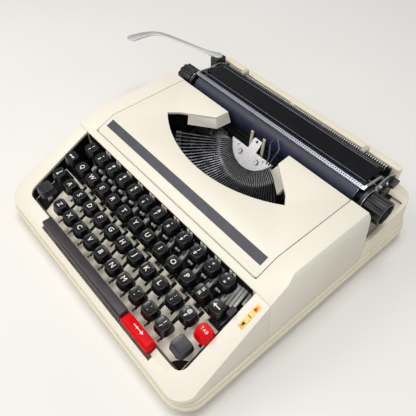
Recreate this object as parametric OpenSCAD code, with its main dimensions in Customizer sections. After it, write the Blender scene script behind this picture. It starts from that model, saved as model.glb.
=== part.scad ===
// Portable manual typewriter in a cream plastic case, with a hinged ribbon cover.
// X runs from left to right, Y from the keyboard to the rear, Z up.
// The origin is on the table, under the middle of the case's footprint.

/* [Part to show] */
// One sub-part, or all of them

/* [Case] */
// Height of the rubber feet, mm
foot_h = 2; // [1:0.5:6]
// Radius of a rubber foot, mm
foot_r = 9; // [6:0.5:12]
// Thickness of the tray's floor, mm
floor_t = 3; // [2:0.5:5]
// Wall thickness of the mouldings, mm
wall = 2.5; // [1.5:0.1:4]
// Corner radius of the flange in plan, mm
case_r = 24; // [10:1:40]
// How far the flange stands out beyond the housing's sides, mm
flange_w = 3.5; // [2:0.5:8]
// How far the flange stands out before the surround, mm
front_inset = 2; // [1:0.5:6]
// Height of the flange's upper face, mm
rim_z = 19; // [14:1:30]
// Height of the inner step on the flange, mm
step_h = 5; // [2:0.5:8]
// Height of the side rims at the rear, mm
rear_rim_z = 58; // [45:1:65]
// Height of the rear wall's top, mm
rear_wall_z = 84; // [70:1:100]
// Thickness of the rear wall, mm
rear_wall_t = 8.5; // [5:0.5:12]
// Depth of the ledge behind the rear wall, mm
rear_ledge = 10; // [6:1:20]
// Clear depth between the rear rod's axis and the rear wall, mm
wall_gap = 14; // [13:0.5:25]

/* [Keyboard surround and housing] */
// Height of the surround's front edge, mm
front_z = 28; // [22:1:40]
// Height of the top at the seam, mm
seam_z = 76; // [65:1:90]
// Height of the housing's flat top, mm
top_z = 88; // [80:1:100]
// Length of the front slope of the housing, mm
slope_l = 30; // [26:1:36]
// Depth of the housing from the seam to its rear edge, mm
housing_d = 127; // [120:1:145]
// Width of the flat band beside the keyboard opening, mm
side_band = 15; // [12:0.5:22]
// How far the side walls lean out at their foot, mm
side_lean = 6; // [2:0.5:10]
// Gap between the outermost key and the opening's side, mm
side_gap = 0.9125; // [0.6:0.0125:4]
// Front band of the surround, up to the space bar's notch, mm
notch_band = 5.3; // [4:0.1:10]
// Gap between the space bar and its notch, mm
notch_gap = 1.7; // [1:0.1:4]
// How far the notch reaches before the keyboard opening, mm
notch_d = 11.2; // [8:0.1:14]
// Distance from the number row's middle to the seam, mm
seam_gap = 10; // [9.5:0.5:15]

/* [Ribbon cover] */
// Width of the housing's rim beside the cover, measured to the keyboard opening's side, mm
cover_side = 8.5; // [6:0.5:14]
// Width of the housing's strip ahead of the cover, mm
cover_rim = 7.5; // [6.5:0.5:10]
// Gap between the cover and its frame, mm
cover_gap = 0.7; // [0.4:0.1:1.5]
// Corner radius of the cover's front corners in plan, mm
corner_r = 3; // [2:0.5:6]
// Cover wall thickness, mm
cover_t = 2.6; // [1.5:0.1:4]
// Hinge pin radius, mm
hinge_r = 1; // [0.8:0.1:1.5]
// Hinge running clearance, mm
hinge_fit = 0.05; // [0.02:0.01:0.1]
// Length of the label strip, mm
label_l = 232; // [200:1:236]
// Width of the label strip, mm
label_w = 9.5; // [6:0.5:14]

/* [Keyboard] */
// Distance between neighbouring keys of a row, mm
key_pitch = 19.05; // [18:0.05:20]
// Distance between rows, mm
row_pitch = 19.05; // [18:0.05:20]
// Rise from row to row, mm
row_rise = 8.5; // [6:0.5:9.5]
// Key cap width, mm
cap_w = 15.2; // [13:0.1:16]
// Key cap depth, mm
cap_d = 14; // [12:0.1:14.5]
// Key cap height, mm
cap_h = 8; // [6:0.5:9]
// Width of the square shift keys, mm
shift_w = 17; // [15:0.1:18]
// Gap between the lower row and the space bar, mm
bar_gap = 5.85; // [4:0.05:10]
// Depth of the space bar, mm
space_d = 10.5; // [8:0.5:12]
// Top of the space bar, mm
space_z = 42; // [38:1:46]
// Thickness of a key lever, mm
lever_t = 1.2; // [0.8:0.1:2]
// Height of a key lever, mm
lever_h = 6; // [4:0.5:8]
// Distance from the housing's rear edge to the fulcrum rod, mm
fulcrum_in = 10; // [6:1:20]
// Height of the fulcrum rod's axis, mm
fulcrum_z = 14; // [13:0.5:20]
// Fulcrum rod radius, mm
fulcrum_r = 2; // [1.5:0.1:3]
// Running clearance of levers and shafts, mm
run_fit = 0.05; // [0.02:0.01:0.1]
// Slope of the key levers towards the front
lever_rise = 0.03; // [0:0.01:0.05]

/* [Type basket] */
// Number of type bars
bar_count = 44; // [20:2:46]
// Angle of the fan to each side, degrees
fan_half = 62; // [50:1:64]
// Radius of the fulcrum wire's arc, mm
wire_arc = 47; // [42:1:52]
// Fulcrum wire radius, mm
wire_r = 1; // [0.8:0.1:1.3]
// Width of the slotted ring outside the wire, mm
ring_out = 4; // [3:0.5:6]
// Width of the slotted ring inside the wire, mm
ring_in = 15.5; // [12:0.5:18]
// Width of a slot, mm
slot_w = 1.4; // [1.2:0.1:1.6]
// Thickness of a type bar, mm
bar_t = 1; // [0.8:0.1:1.2]
// Angle between a resting type bar and the segment's plane, degrees
bar_rest = 38; // [30:1:45]
// Tilt of the segment's plane from the horizontal, degrees
seg_tilt = 48; // [42:1:52]
// Distance from the platen's surface to the segment's centre, mm
seg_gap = 2.1; // [2:0.1:4]
// Height of the segment's centre, mm
seg_z = 75; // [73:0.5:77]
// Thickness of the half-round plate, mm
plate_h = 1; // [0.6:0.1:1.5]
// Radius of the posts that the segment slides on, mm
post_r = 3; // [2:0.5:4]

/* [Carriage] */
// Sideways place of the carriage at rest, mm
car_x = 4; // [-100:1:100]
// Platen radius, mm
platen_r = 15.5; // [14:0.5:17]
// Platen length, mm
platen_l = 228; // [200:1:240]
// Gap between the housing and the platen, mm
platen_gap = 3.8; // [3:0.1:8]
// Height of the platen axis, mm
platen_z = 76.5; // [75:0.5:80]
// Radius of the platen shaft, mm
shaft_r = 4; // [3:0.5:5]
// Gap between the platen's end and an end plate, mm
end_gap = 7; // [5:0.5:12]
// Thickness of an end plate, mm
plate_t = 3; // [2:0.5:5]
// Radius of the carriage rods, mm
rod_r = 3; // [2:0.5:3.5]
// Height of the rods' axes, mm
rod_z = 61; // [59:0.5:62]
// Distance from the platen's axis to the front rod, mm
rod_in = 16.2; // [15.5:0.1:20]
// Distance between the rods, mm
rod_span = 18.5; // [17:0.5:24]
// Knob radius, mm
knob_r = 13; // [11:0.5:14]
// Knob length, mm
knob_l = 19; // [14:1:24]
// How far the shaft reaches into a knob, mm
knob_seat = 9; // [6:1:12]
// Distance between an end plate and its knob, mm
knob_gap = 2; // [1:0.5:4]
// Height of the bail pivot, mm
bail_z = 84; // [83:0.5:86]
// Height of the return lever, mm
lever_z = 93.05; // [93:0.05:97]
// Thickness of the return lever, mm
blade_t = 2.2; // [1.5:0.1:2.6]

/* [Hidden] */
$fn = 48;
deck_z = foot_h + floor_t;
step_z = rim_z + step_h;
h_key = 5;
// Depth, as the sum of what stands one behind the other
keyboard_d = notch_band + notch_gap + space_d + bar_gap + cap_d / 2 + 3 * row_pitch + seam_gap;
carriage_d = platen_gap + platen_r + rod_in + rod_span + wall_gap;
case_d = front_inset + keyboard_d + housing_d + carriage_d + rear_wall_t + rear_ledge;
front_y = front_inset - case_d / 2;
notch_y = front_y + notch_band;
well_y = notch_y + notch_d;
space_y = notch_y + notch_gap + space_d / 2;
seam_y = front_y + keyboard_d;
row_y = seam_y - seam_gap;
brow_y = seam_y + slope_l;
cover_y = seam_y + cover_rim;
hood_y = seam_y + housing_d;
platen_y = hood_y + platen_gap + platen_r;
rod_y1 = platen_y + rod_in;
rod_y2 = rod_y1 + rod_span;
rear_y = rod_y2 + wall_gap;
bail_y = rod_y2 - 7;
// Width, from the widest row of keys outwards
well_x = 6.75 * key_pitch + side_gap;
crease_x = well_x + side_band;
skirt_x = crease_x + side_lean;
case_w = 2 * (skirt_x + flange_w);
cover_x = well_x - cover_side;
frame_x = well_x + 1.5;
rear_wall_w = 2 * (frame_x - 4);
// Rows of keys, from the number row forwards
row_z = seam_z;
key_rows_z = [row_z, row_z - row_rise, row_z - 2 * row_rise, row_z - 3 * row_rise];
key_rows_y = [row_y, row_y - row_pitch, row_y - 2 * row_pitch, row_y - 3 * row_pitch];
row_x0 = [-5.486 * key_pitch, -4.986 * key_pitch, -4.736 * key_pitch, -4.236 * key_pitch];
row_n = [12, 11, 11, 10];
side_lever = key_pitch / 8;
fulcrum_y = hood_y - fulcrum_in;
// Ribbon cover's hinge
hinge_y = cover_y + 1.9;
hinge_z = brow_line(hinge_y) - 1.9;
// Type basket
seg_y = platen_y - platen_r - seg_gap;
seg_ro = wire_arc + ring_out;
seg_ri = wire_arc - ring_in;
post_x = seg_ro + post_r + 2;
post_y = hood_y - 9;
bar_step = 2 * fan_half / (bar_count - 1);
h_bar = bar_count / 2;
// Ribbon: its lower edge, width, spools and guides
ribbon_z = 51.6;
ribbon_w = 12.6;
ribbon_y = hood_y + 1;
spool_x = cover_x - 22;
spool_y = hood_y - 24;
table_z = ribbon_z - 3.6;
vib_y = hood_y - 1.8;
// Carriage
plate_in = platen_l / 2 + end_gap;
plate_out = plate_in + plate_t;
lever_pivot = [car_x - plate_out - 5.5, rod_y2 + 2];
// Ribbon selector
sel_y = seam_y + 19;

// Height of the sloping surface between the seam and the flat top
function brow_line(y) = seam_z + (y - seam_y) * (top_z - seam_z) / (brow_y - seam_y);

// Outline with true round corners
module rrect(w, d, r) {
    square([w - 2 * r, d], center = true);
    square([w, d - 2 * r], center = true);
    for (x = [-1, 1], y = [-1, 1])
        translate([x * (w / 2 - r), y * (d / 2 - r)]) circle(r);
}

// A side profile of [y, z] points, drawn out along X from x0 to x1
module side(pts, x0, x1) {
    translate([x0, 0, 0]) rotate([90, 0, 90]) linear_extrude(x1 - x0) polygon(pts);
}

// A rod along X
module rod_x(x0, x1, y, z, r) {
    translate([x0, y, z]) rotate([0, 90, 0]) cylinder(h = x1 - x0, r = r);
}

// The segment's own frame: X as the machine, -Y down the slots, Z towards the typist
module seg_frame() {
    translate([0, seg_y, seg_z]) rotate([seg_tilt, 0, 0]) children();
}

// Case, in two tiers: a tray with a flange, and side rims that rise to the rear wall
module base_shell() color([0.90, 0.87, 0.76]) {
    difference() {
        union() {
            translate([0, 0, foot_h]) linear_extrude(rim_z - foot_h)
                rrect(case_w - 7, case_d - 7, case_r - 3.5);
            translate([0, 0, rim_z - 6]) linear_extrude(6) rrect(case_w, case_d, case_r);
            translate([0, 0, rim_z - 1]) linear_extrude(step_h + 1)
                rrect(case_w - 3, case_d - 3, case_r - 1.5);
            // side rims that rise towards the rear, in line with the housing's sides
            intersection() {
                rim_block(step_z - 1, rear_rim_z + 1, 0);
                side(concat([[hood_y + 0.5, rim_z - 1]], rim_line(0),
                    [[case_d / 2, rear_rim_z], [case_d / 2, rim_z - 1]]), -case_w / 2, case_w / 2);
            }
            translate([0, rear_y + rear_wall_t / 2, rear_rim_z - 1])
                linear_extrude(rear_wall_z - rear_rim_z + 1) rrect(rear_wall_w, rear_wall_t, 3);
        }
        // inside of the tray, up to the ledge that carries the rear wall
        translate([0, 0, deck_z]) linear_extrude(step_z + 1 - deck_z)
            rrect(case_w - 12, case_d - 12, case_r - 6);
        rim_block(step_z - 2, rear_rim_z - wall, wall + 1.5);
    }
    // sloping decks inside the rims, beside the frame
    for (x = [-skirt_x + 3.8, frame_x + 0.6])
        side(concat(rim_line(3.4), [for (i = [4:-1:0]) rim_line(6)[i]]), x, x + skirt_x - 4.4 - frame_x);
}

// Block from z0 to z1 with sides that lean as the housing's do, and with round rear corners
module rim_block(z0, z1, inset) {
    lean = (skirt_x - crease_x - 1.4) / (seam_z - step_z);
    x1 = case_w / 2 - case_r;
    y1 = case_d / 2 - case_r;
    ra = skirt_x - x1 - inset - (z0 - step_z) * lean;
    rb = skirt_x - x1 - inset - (z1 - step_z) * lean;
    rotate([90, 0, 0]) translate([0, 0, -y1]) linear_extrude(y1)
        polygon([[-x1 - ra, z0], [x1 + ra, z0], [x1 + rb, z1], [-x1 - rb, z1]]);
    side([[0, z0], [y1 + ra, z0], [y1 + rb, z1], [0, z1]], -x1, x1);
    for (s = [-1, 1]) translate([s * x1, y1, z0]) cylinder(h = z1 - z0, r1 = ra, r2 = rb);
}

// Upper line of the side rims, lowered by drop
function rim_line(drop) = [[hood_y + 0.5, step_z + 14 - drop], [hood_y + 4, 45 - drop],
    [rod_y1 + 4.5, 51 - drop], [rod_y2 + 4, 53.5 - drop], [rear_y + 2, rear_rim_z - drop]];

module rubber_feet() color([0.1, 0.1, 0.1])
    for (x = [-1, 1], y = [-1, 1])
        translate([x * (case_w / 2 - 34), y * (case_d / 2 - 31.5), 0]) cylinder(h = foot_h, r = foot_r);

// Ends of the space bar and of the tabulator bar
space_x0 = -4.226 * key_pitch;
space_x1 = space_x0 + 137.5;
tab_x0 = space_x1 + 1.5;
tab_x1 = tab_x0 + 38.5;

// Body of the surround or the housing from y0 to y1, made smaller by inset on every side
module hood_body(y0, y1, inset) {
    z0 = step_z - (inset > 0 ? 1 : 0);
    intersection() {
        side([[front_y + inset, 0], [front_y + inset, front_z - inset * 0.6],
            [front_y + 4 + inset * 0.6, front_z + 2 - inset], [seam_y, seam_z - inset * 1.12],
            [brow_y + inset * 0.2, top_z - inset], [hood_y + 9, top_z - inset], [hood_y + 9, 0]],
            -skirt_x - 9, skirt_x + 9);
        rotate([90, 0, 0]) translate([0, 0, -200]) linear_extrude(400)
            polygon([[-skirt_x + inset, 0], [skirt_x - inset, 0],
                [skirt_x - inset, step_z], [crease_x + 1.4 - inset, seam_z],
                [crease_x - inset, top_z - 4], [crease_x - 4 - inset * 0.7, top_z + 1 - inset * 0.3],
                [-crease_x + 4 + inset * 0.7, top_z + 1 - inset * 0.3], [-crease_x + inset, top_z - 4],
                [-crease_x - 1.4 + inset, seam_z], [-skirt_x + inset, step_z]]);
        translate([0, (front_y + 90) / 2, 0]) linear_extrude(200)
            rrect(2 * (skirt_x - inset), 90 - front_y - 2 * inset, 20 - inset);
        translate([-200, y0, z0]) cube([400, y1 - y0, 200]);
    }
}

module keyboard_surround() color([0.93, 0.90, 0.80]) difference() {
    hood_body(front_y, seam_y - 0.3, 0);
    hood_body(front_y, seam_y + 1, wall);
    well();
}

// The keyboard opening with its rounded front corners and the notch of the space bar
module well() {
    translate([0, 0, 10]) linear_extrude(100) {
        translate([0, (well_y + seam_y + 40) / 2])
            rrect(2 * well_x, seam_y + 40 - well_y, 9);
        translate([space_x0 - 2.5, notch_y]) square([tab_x1 - space_x0 + 6.5, 30]);
        translate([tab_x1 - 1, notch_y + 5]) square([24, 20]);
    }
}

module main_housing() color([0.93, 0.90, 0.80]) difference() {
    union() {
        difference() {
            hood_body(seam_y, hood_y, 0);
            // hollow behind a front wall
            hood_body(seam_y + wall, hood_y + 5, wall);
            // the front wall is open below its strip, where the levers pass
            translate([-well_x, seam_y - 2, 0]) cube([2 * well_x, 20, seam_z - 9]);
            // room for the ribbon cover, open to the rear
            translate([0, 0, step_z]) linear_extrude(100) cover_plan(cover_gap, corner_r / 2);
        }
        // blocks under the top that hold the hinge pins
        intersection() {
            hood_body(seam_y, hood_y, 0.8);
            for (s = [-1, 1])
                translate([s > 0 ? cover_x + cover_gap : -cover_x - cover_gap - 6, seam_y + 1, hinge_z - 4])
                    cube([6, hinge_y - seam_y + 4, 20]);
        }
    }
    rod_x(-cover_x - 5, cover_x + 5, hinge_y, hinge_z, hinge_r);
}

// Selector decal on the right side of the surround
module selector_decal() color([0.85, 0.65, 0.3])
    translate([crease_x - 5.5, seam_y - 15.5, surround_z(seam_y - 15.5) + 0.01])
        rotate([atan(surround_slope), 0, 0]) linear_extrude(0.3) rrect(4.8, 24, 0.6);

surround_slope = (seam_z - front_z - 2) / (seam_y - front_y - 4);
function surround_z(y) = front_z + 2 + (y - front_y - 4) * surround_slope;

// Frame

module chassis() color([0.35, 0.35, 0.37]) difference() {
    union() {
        // pan on the tray's floor
        translate([-frame_x, well_y + 3, deck_z]) cube([2 * frame_x, rear_y - 4 - well_y - 3, 1.5]);
        // side plates
        for (x = [-frame_x, frame_x - 2])
            side([[seam_y + 11, deck_z], [seam_y + 11, 30], [seam_y + 17, 40], [seam_y + 27, 40],
                [seam_y + 35, 26], [hood_y - 56, 26], [hood_y - 42, 56], [hood_y - 8, 56], [hood_y + 6, 44],
                [hood_y + 22, 44], [hood_y + 28, 50], [rear_y - 4, 50], [rear_y - 4, deck_z]], x, x + 2);
        // cross plate that carries the rail bearings
        translate([-frame_x, rod_y1 - 8.5, 47]) cube([2 * frame_x, rear_y - 4 - rod_y1 + 8.5, 3]);
        // cross bar that carries the basket's posts
        translate([-frame_x, post_y - 3, 40]) cube([2 * frame_x, 15, 4]);
        for (x = [-post_x, post_x]) translate([x, post_y, 43]) cylinder(h = 23, r = post_r);
        // ribbon guide posts
        for (s = [-1, 1]) translate([s * (spool_x - 25), ribbon_y - 1.6, 43])
            cylinder(h = ribbon_z + ribbon_w - 40, r = 1.5);
        // spool tables with their axles
        for (s = [-1, 1]) {
            translate([s * spool_x, spool_y, table_z]) cylinder(h = 2, r = 20.5);
            translate([s * spool_x, spool_y, table_z]) cylinder(h = 19, r = 2);
            translate([s > 0 ? spool_x : -frame_x, spool_y - 8, table_z]) cube([frame_x - spool_x, 16, 2]);
        }
        // stud of the ribbon selector
        rod_x(frame_x - 5.6, frame_x - 1, sel_y, 34, 2);
    }
    rod_x(-case_w, case_w, fulcrum_y, fulcrum_z, fulcrum_r);
    // guide slot of the ribbon vibrator
    translate([-3 - run_fit, vib_y - run_fit, 30]) cube([6 + 2 * run_fit, 1.4 + 2 * run_fit, 20]);
}

module fulcrum_rod() color([0.7, 0.7, 0.72])
    rod_x(-frame_x - 2, frame_x + 2, fulcrum_y, fulcrum_z, fulcrum_r);

// Sloping comb under the two lower rows on two side cheeks, with a slot for each key post
mask_y0 = row_y - 67;
mask_y1 = row_y - 25;
mask_rise = row_rise / row_pitch;
mask_t = 1.8;
module key_mask() color([0.86, 0.84, 0.76]) {
    z0 = key_rows_z[3] - 27.3;
    z1 = z0 + (mask_y1 - mask_y0) * mask_rise;
    difference() {
        side([[mask_y0, z0], [mask_y0, z0 + mask_t], [mask_y1, z1 + mask_t], [mask_y1, z1]],
            -frame_x + 4, frame_x - 7.4);
        for (r = [2:3], i = [0:row_n[r] - 1]) post_slot(row_x0[r] + i * key_pitch, key_rows_y[r]);
        for (f = [shift_l, shift_r, lock_k, red_k]) post_slot(f[0], f[1]);
    }
    for (x = [-frame_x + 4, frame_x - 8.6])
        side([[mask_y0, deck_z + 1.5], [mask_y0, z0 + 0.8], [mask_y1, z1 + 0.8], [mask_y1, deck_z + 1.5]],
            x, x + 1.2);
}

module post_slot(x, y) translate([x - 1.6, y - 5.4, 10]) cube([3.2, 9, 60]);

// Bearing blocks that the carriage rods slide in
module rail_bearings() color([0.3, 0.3, 0.32])
    for (x = [-16, 6]) difference() {
        translate([x, rod_y1 - rod_r - 1.5, 50]) cube([10, rod_span + 2 * rod_r + 3, rod_z + rod_r + 1 - 50]);
        translate([x - 1, rod_y1 + rod_r + 3, 53]) cube([12, rod_span - 2 * rod_r - 6, 20]);
        for (y = [rod_y1, rod_y2]) rod_x(x - 1, x + 11, y, rod_z, rod_r + run_fit);
    }

// Ribbon cover

module cover_hinge_pins() color([0.7, 0.7, 0.7])
    for (s = [-1, 1]) rod_x(s > 0 ? cover_x - 6 : -cover_x - 5, s > 0 ? cover_x + 5 : -cover_x + 6,
        hinge_y, hinge_z, hinge_r);

// Plan of the opening over the type basket
module basket_opening(grow) offset(delta = grow) {
    intersection() {
        translate([0, hood_y + 63]) circle(143, $fn = 96);
        translate([-87, hood_y - 90]) square([174, 39.01]);
    }
    polygon([[-87, hood_y - 51], [-horn_a[0], hood_y - horn_a[1]], [-horn_b[0], hood_y - horn_b[1]],
        [-horn_b[0] + 1.5, hood_y + 10], [horn_b[0] - 1.5, hood_y + 10], [horn_b[0], hood_y - horn_b[1]],
        [horn_a[0], hood_y - horn_a[1]], [87, hood_y - 51]]);
}

// Plan of the ribbon cover, grown by grow, with front corners of radius r
module cover_plan(grow, r) {
    w = cover_x + grow;
    y0 = cover_y - grow;
    translate([-w, y0 + r]) square([2 * w, 200]);
    translate([-w + r, y0]) square([2 * (w - r), r + 1]);
    for (s = [-1, 1]) translate([s * (w - r), y0 + r]) circle(r);
}

module ribbon_cover() color([0.93, 0.90, 0.80]) difference() {
    union() {
        // shell with side walls, open below and at the rear
        difference() {
            intersection() {
                union() {
                    side([[hinge_y, hinge_z - 1.9], [hinge_y, brow_line(hinge_y)], [brow_y, top_z],
                        [hood_y - 0.5, top_z], [hood_y - 0.5, hinge_z - 1.9]], -cover_x, cover_x);
                    rod_x(-cover_x, cover_x, hinge_y, hinge_z, 1.9);
                }
                translate([0, 0, step_z]) linear_extrude(100) cover_plan(0, corner_r);
            }
            side([[hinge_y + 2.6, 0], [hinge_y + 2.6, brow_line(hinge_y) - cover_t],
                [brow_y + 1, top_z - cover_t], [hood_y + 20, top_z - cover_t],
                [hood_y + 20, 0]], -cover_x + cover_t, cover_x - cover_t);
            translate([0, 0, top_z - 20]) linear_extrude(40) basket_opening(0);
        }
        // bevelled inner walls of the two horns beside the basket, mitred at their corner
        for (s = [0, 1]) mirror([s, 0, 0]) {
            intersection() {
                horn_wall([horn_b[0] - 1.47, hood_y - 0.5], [horn_b[0], hood_y - horn_b[1]], 8);
                horn_half(0);
            }
            intersection() {
                horn_wall([horn_b[0] - 8.04, hood_y - horn_b[1] + 5.94], horn_end, 0);
                horn_half(1);
            }
        }
    }
    rod_x(-cover_x - 1, cover_x + 1, hinge_y, hinge_z, hinge_r + hinge_fit);
}

// Corners of the opening beside a horn: distance from the middle and from the housing's rear edge
horn_a = [78.5, 41];
horn_b = [46, 17];
// The front wall ends a little inside the opening's corner
horn_end = [horn_a[0] - 8.04, hood_y - horn_a[1] + 5.94];

// A wall from p to q that hangs under the top and leans into the opening; more lengthens its end at q
module horn_wall(p, q, more) {
    translate([p[0], p[1], top_z]) rotate([0, 0, atan2(q[1] - p[1], q[0] - p[0])])
        rotate([90, 0, 90]) linear_extrude(norm(q - p) + more)
            polygon([[2.6, -0.5], [0, -0.5], [0, -2], [-5, -11], [-2.2, -11], [2.6, -2.4]]);
}

// Plan on one side of the mitre line between a horn's two walls
module horn_half(front) translate([horn_b[0], hood_y - horn_b[1], top_z - 20]) rotate([0, 0, 28.4])
    translate([-60, front > 0 ? -120 : 0, 0]) cube([120, 120, 30]);

module label_strip() color([0.25, 0.25, 0.28])
    translate([0, cover_y + 14, brow_line(cover_y + 14) + 0.01])
        rotate([atan((top_z - seam_z) / (brow_y - seam_y)), 0, 0])
            linear_extrude(0.4) square([label_l, label_w], center = true);

// Type basket

// Half plane of the segment disc that is kept, below its straight top edge
module seg_cut(top) translate([-80, -100 - top]) square([160, 100]);

module segment() color([0.45, 0.45, 0.47]) {
    seg_frame() difference() {
        union() {
            // slotted ring
            translate([0, 0, -5]) linear_extrude(8) intersection() {
                difference() {
                    circle(seg_ro, $fn = 96);
                    circle(seg_ri, $fn = 96);
                }
                seg_cut(15);
            }
            // flat middle that carries the plate
            translate([0, 0, -5]) linear_extrude(5 - plate_h) intersection() {
                circle(seg_ri + 1, $fn = 96);
                seg_cut(11.5);
            }
        }
        // slots, open above and to both sides
        for (i = [0:bar_count - 1]) rotate([0, 0, -fan_half + i * bar_step])
            translate([-slot_w / 2, -seg_ro - 1, -3.6]) cube([slot_w, seg_ro - seg_ri + 2.2, 10]);
        // channel of the fulcrum wire
        rotate([0, 0, 198]) rotate_extrude(angle = 144) translate([wire_arc, 0]) circle(wire_r, $fn = 24);
        for (x = [-12, 12]) translate([x, -19.4, -10]) cylinder(h = 12, r = 1.2);
    }
    // ears that slide on the two posts
    for (s = [-1, 1]) difference() {
        translate([s > 0 ? post_x - 16 : -post_x - 6, post_y - 5.5, 53]) cube([22, 11, 10]);
        translate([s * post_x, post_y, 50]) cylinder(h = 20, r = post_r + run_fit);
        seg_frame() translate([-post_x - 14, -70, -3.8]) cube([2 * post_x + 28, 80, 30]);
    }
}

module segment_wire() color([0.7, 0.7, 0.72]) seg_frame()
    rotate([0, 0, 198]) rotate_extrude(angle = 144) translate([wire_arc, 0]) circle(wire_r, $fn = 24);

// Half-round plate on the segment, with a tongue that reaches to the printing point
module segment_plate() color([0.85, 0.85, 0.85])
    seg_frame() translate([0, 0, -plate_h]) linear_extrude(plate_h) difference() {
        union() {
            intersection() {
                circle(seg_ri - 0.1, $fn = 96);
                seg_cut(11.5);
            }
            translate([0, -7.2]) rrect(11.6, 17.6, 2);
        }
        translate([0, -1.2]) circle(1.5);
        for (x = [-12, 12]) translate([x, -19.4]) circle(1.2);
        for (x = [-18.5, 18.5]) translate([x, -14.6]) circle(1);
    }

module segment_screws() color([0.8, 0.8, 0.8]) seg_frame() for (x = [-12, 12]) translate([x, -19.4, 0]) {
    translate([0, 0, -5]) cylinder(h = 5.5, r = 1.2);
    difference() {
        cylinder(h = 1.3, r = 2.4);
        translate([-3, -0.3, 0.8]) cube([6, 0.6, 2]);
    }
}

// One type bar in its radial plane: pivot at the origin, the bar along X
module type_bar() {
    rotate([90, 0, 0]) translate([0, 0, -bar_t / 2]) linear_extrude(bar_t) difference() {
        union() {
            circle(2.6, $fn = 24);
            polygon([[0, -2.2], [wire_arc - 8, -1.2], [wire_arc + 1, -1.2],
                [wire_arc + 1, 1.2], [wire_arc - 8, 1.2], [0, 2.4]]);
        }
        circle(wire_r + run_fit, $fn = 24);
    }
    // the type slug on the bar's end, its face towards the platen when struck
    translate([wire_arc - 3, -1.25, -1.2]) cube([6, 2.5, 4.2]);
}

// A bar of the fan at rest; i counts from the left
module fan_bar(i) seg_frame() rotate([0, 0, -90 - fan_half + i * bar_step]) translate([wire_arc, 0, 0])
    rotate([0, -bar_rest, 0]) type_bar();

module typebars() color([0.25, 0.25, 0.27])
    for (i = [0:bar_count - 1]) if (i != h_bar) fan_bar(i);

module typebar_h() color([0.3, 0.3, 0.32]) fan_bar(h_bar);

// Fork that lifts the ribbon: two legs that lean back, on a tongue that slides in the cross bar
module ribbon_vibrator() color([0.85, 0.82, 0.70]) {
    for (s = [-1, 1]) side([[vib_y, 50], [vib_y + 1.3, 50], [vib_y + 4.4, 83], [vib_y + 3.1, 83]],
        s * 8.7 - 1.5, s * 8.7 + 1.5);
    translate([-10.2, vib_y, 50]) cube([20.4, 1.3, 3]);
    translate([-3, vib_y, 34]) cube([6, 1.4, 16.5]);
}

// Ribbon across the front of the platen and slanting back to both spools
module ribbon() color([0.08, 0.08, 0.1]) translate([0, 0, ribbon_z]) linear_extrude(ribbon_w) {
    x1 = spool_x - 24;
    x2 = spool_x + 10.5;
    polygon([[-x2, spool_y + 10.5], [-x1, ribbon_y], [x1, ribbon_y], [x2, spool_y + 10.5],
        [x2, spool_y + 10.9], [x1, ribbon_y + 0.4], [-x1, ribbon_y + 0.4], [-x2, spool_y + 10.9]]);
}

module spool() {
    difference() {
        union() {
            translate([0, 0, ribbon_z - 1.3]) cylinder(h = 1, r = 18.5);
            translate([0, 0, ribbon_z - 0.5]) cylinder(h = ribbon_w + 1, r = 12.6);
            translate([0, 0, ribbon_z + ribbon_w + 0.3]) cylinder(h = 1, r = 18.5);
        }
        translate([0, 0, 40]) cylinder(h = 40, r = 2 + run_fit);
    }
}

module spool_left() color([0.15, 0.15, 0.16]) translate([-spool_x, spool_y, 0]) spool();
module spool_right() color([0.15, 0.15, 0.16]) translate([spool_x, spool_y, 0]) spool();

// Keys

// A key cap at its place, with the slot that its post is pressed into
module cap(x, y, z, w, d, slot_x) difference() {
    union() {
        translate([x, y, z - cap_h]) linear_extrude(5) rrect(w, d, 3.6);
        translate([x, y, z - 3.5]) linear_extrude(3.5) rrect(w - 2.4, d - 2.2, 3);
    }
    translate([slot_x - lever_t / 2, y - 2.5, z - cap_h - 1]) cube([lever_t, 5, 4]);
}

// Middle height of a key lever at y
function lever_mid(y) = fulcrum_z + (fulcrum_y - y) * lever_rise;

// A key lever: hub on the fulcrum rod, bar, and a post up to the cap
module key_lever(x, y, z) {
    h = lever_h / 2;
    translate([x - lever_t / 2, 0, 0]) rotate([90, 0, 90]) linear_extrude(lever_t) difference() {
        union() {
            translate([fulcrum_y, fulcrum_z]) circle(4.6);
            polygon([[fulcrum_y, fulcrum_z - h], [fulcrum_y, fulcrum_z + h],
                [y + 6, lever_mid(y) + h], [y + 2.5, lever_mid(y) + h + 4],
                [y + 2.5, z - cap_h + 3], [y - 2.5, z - cap_h + 3],
                [y - 2.5, lever_mid(y) - h + 2], [y, lever_mid(y) - h]]);
        }
        translate([fulcrum_y, fulcrum_z]) circle(fulcrum_r + run_fit);
    }
}

module row_caps(r) for (i = [0:row_n[r] - 1])
    if (r != 2 || i != h_key) cap(row_x0[r] + i * key_pitch, key_rows_y[r], key_rows_z[r], cap_w, cap_d,
        row_x0[r] + i * key_pitch);

module row_levers(r) for (i = [0:row_n[r] - 1])
    if (r != 2 || i != h_key) key_lever(row_x0[r] + i * key_pitch, key_rows_y[r], key_rows_z[r]);

module keytops_row1() color([0.12, 0.12, 0.14]) row_caps(0);
module keytops_row2() color([0.12, 0.12, 0.14]) row_caps(1);
module keytops_row3() color([0.12, 0.12, 0.14]) row_caps(2);
module keytops_row4() color([0.12, 0.12, 0.14]) row_caps(3);
module keylevers_row1() color([0.6, 0.6, 0.62]) row_levers(0);
module keylevers_row2() color([0.6, 0.6, 0.62]) row_levers(1);
module keylevers_row3() color([0.6, 0.6, 0.62]) row_levers(2);
module keylevers_row4() color([0.6, 0.6, 0.62]) row_levers(3);

h_x = row_x0[2] + h_key * key_pitch;
module keytop_h() color([0.12, 0.12, 0.14]) cap(h_x, key_rows_y[2], key_rows_z[2], cap_w, cap_d, h_x);
module keylever_h() color([0.6, 0.6, 0.62]) key_lever(h_x, key_rows_y[2], key_rows_z[2]);

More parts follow.
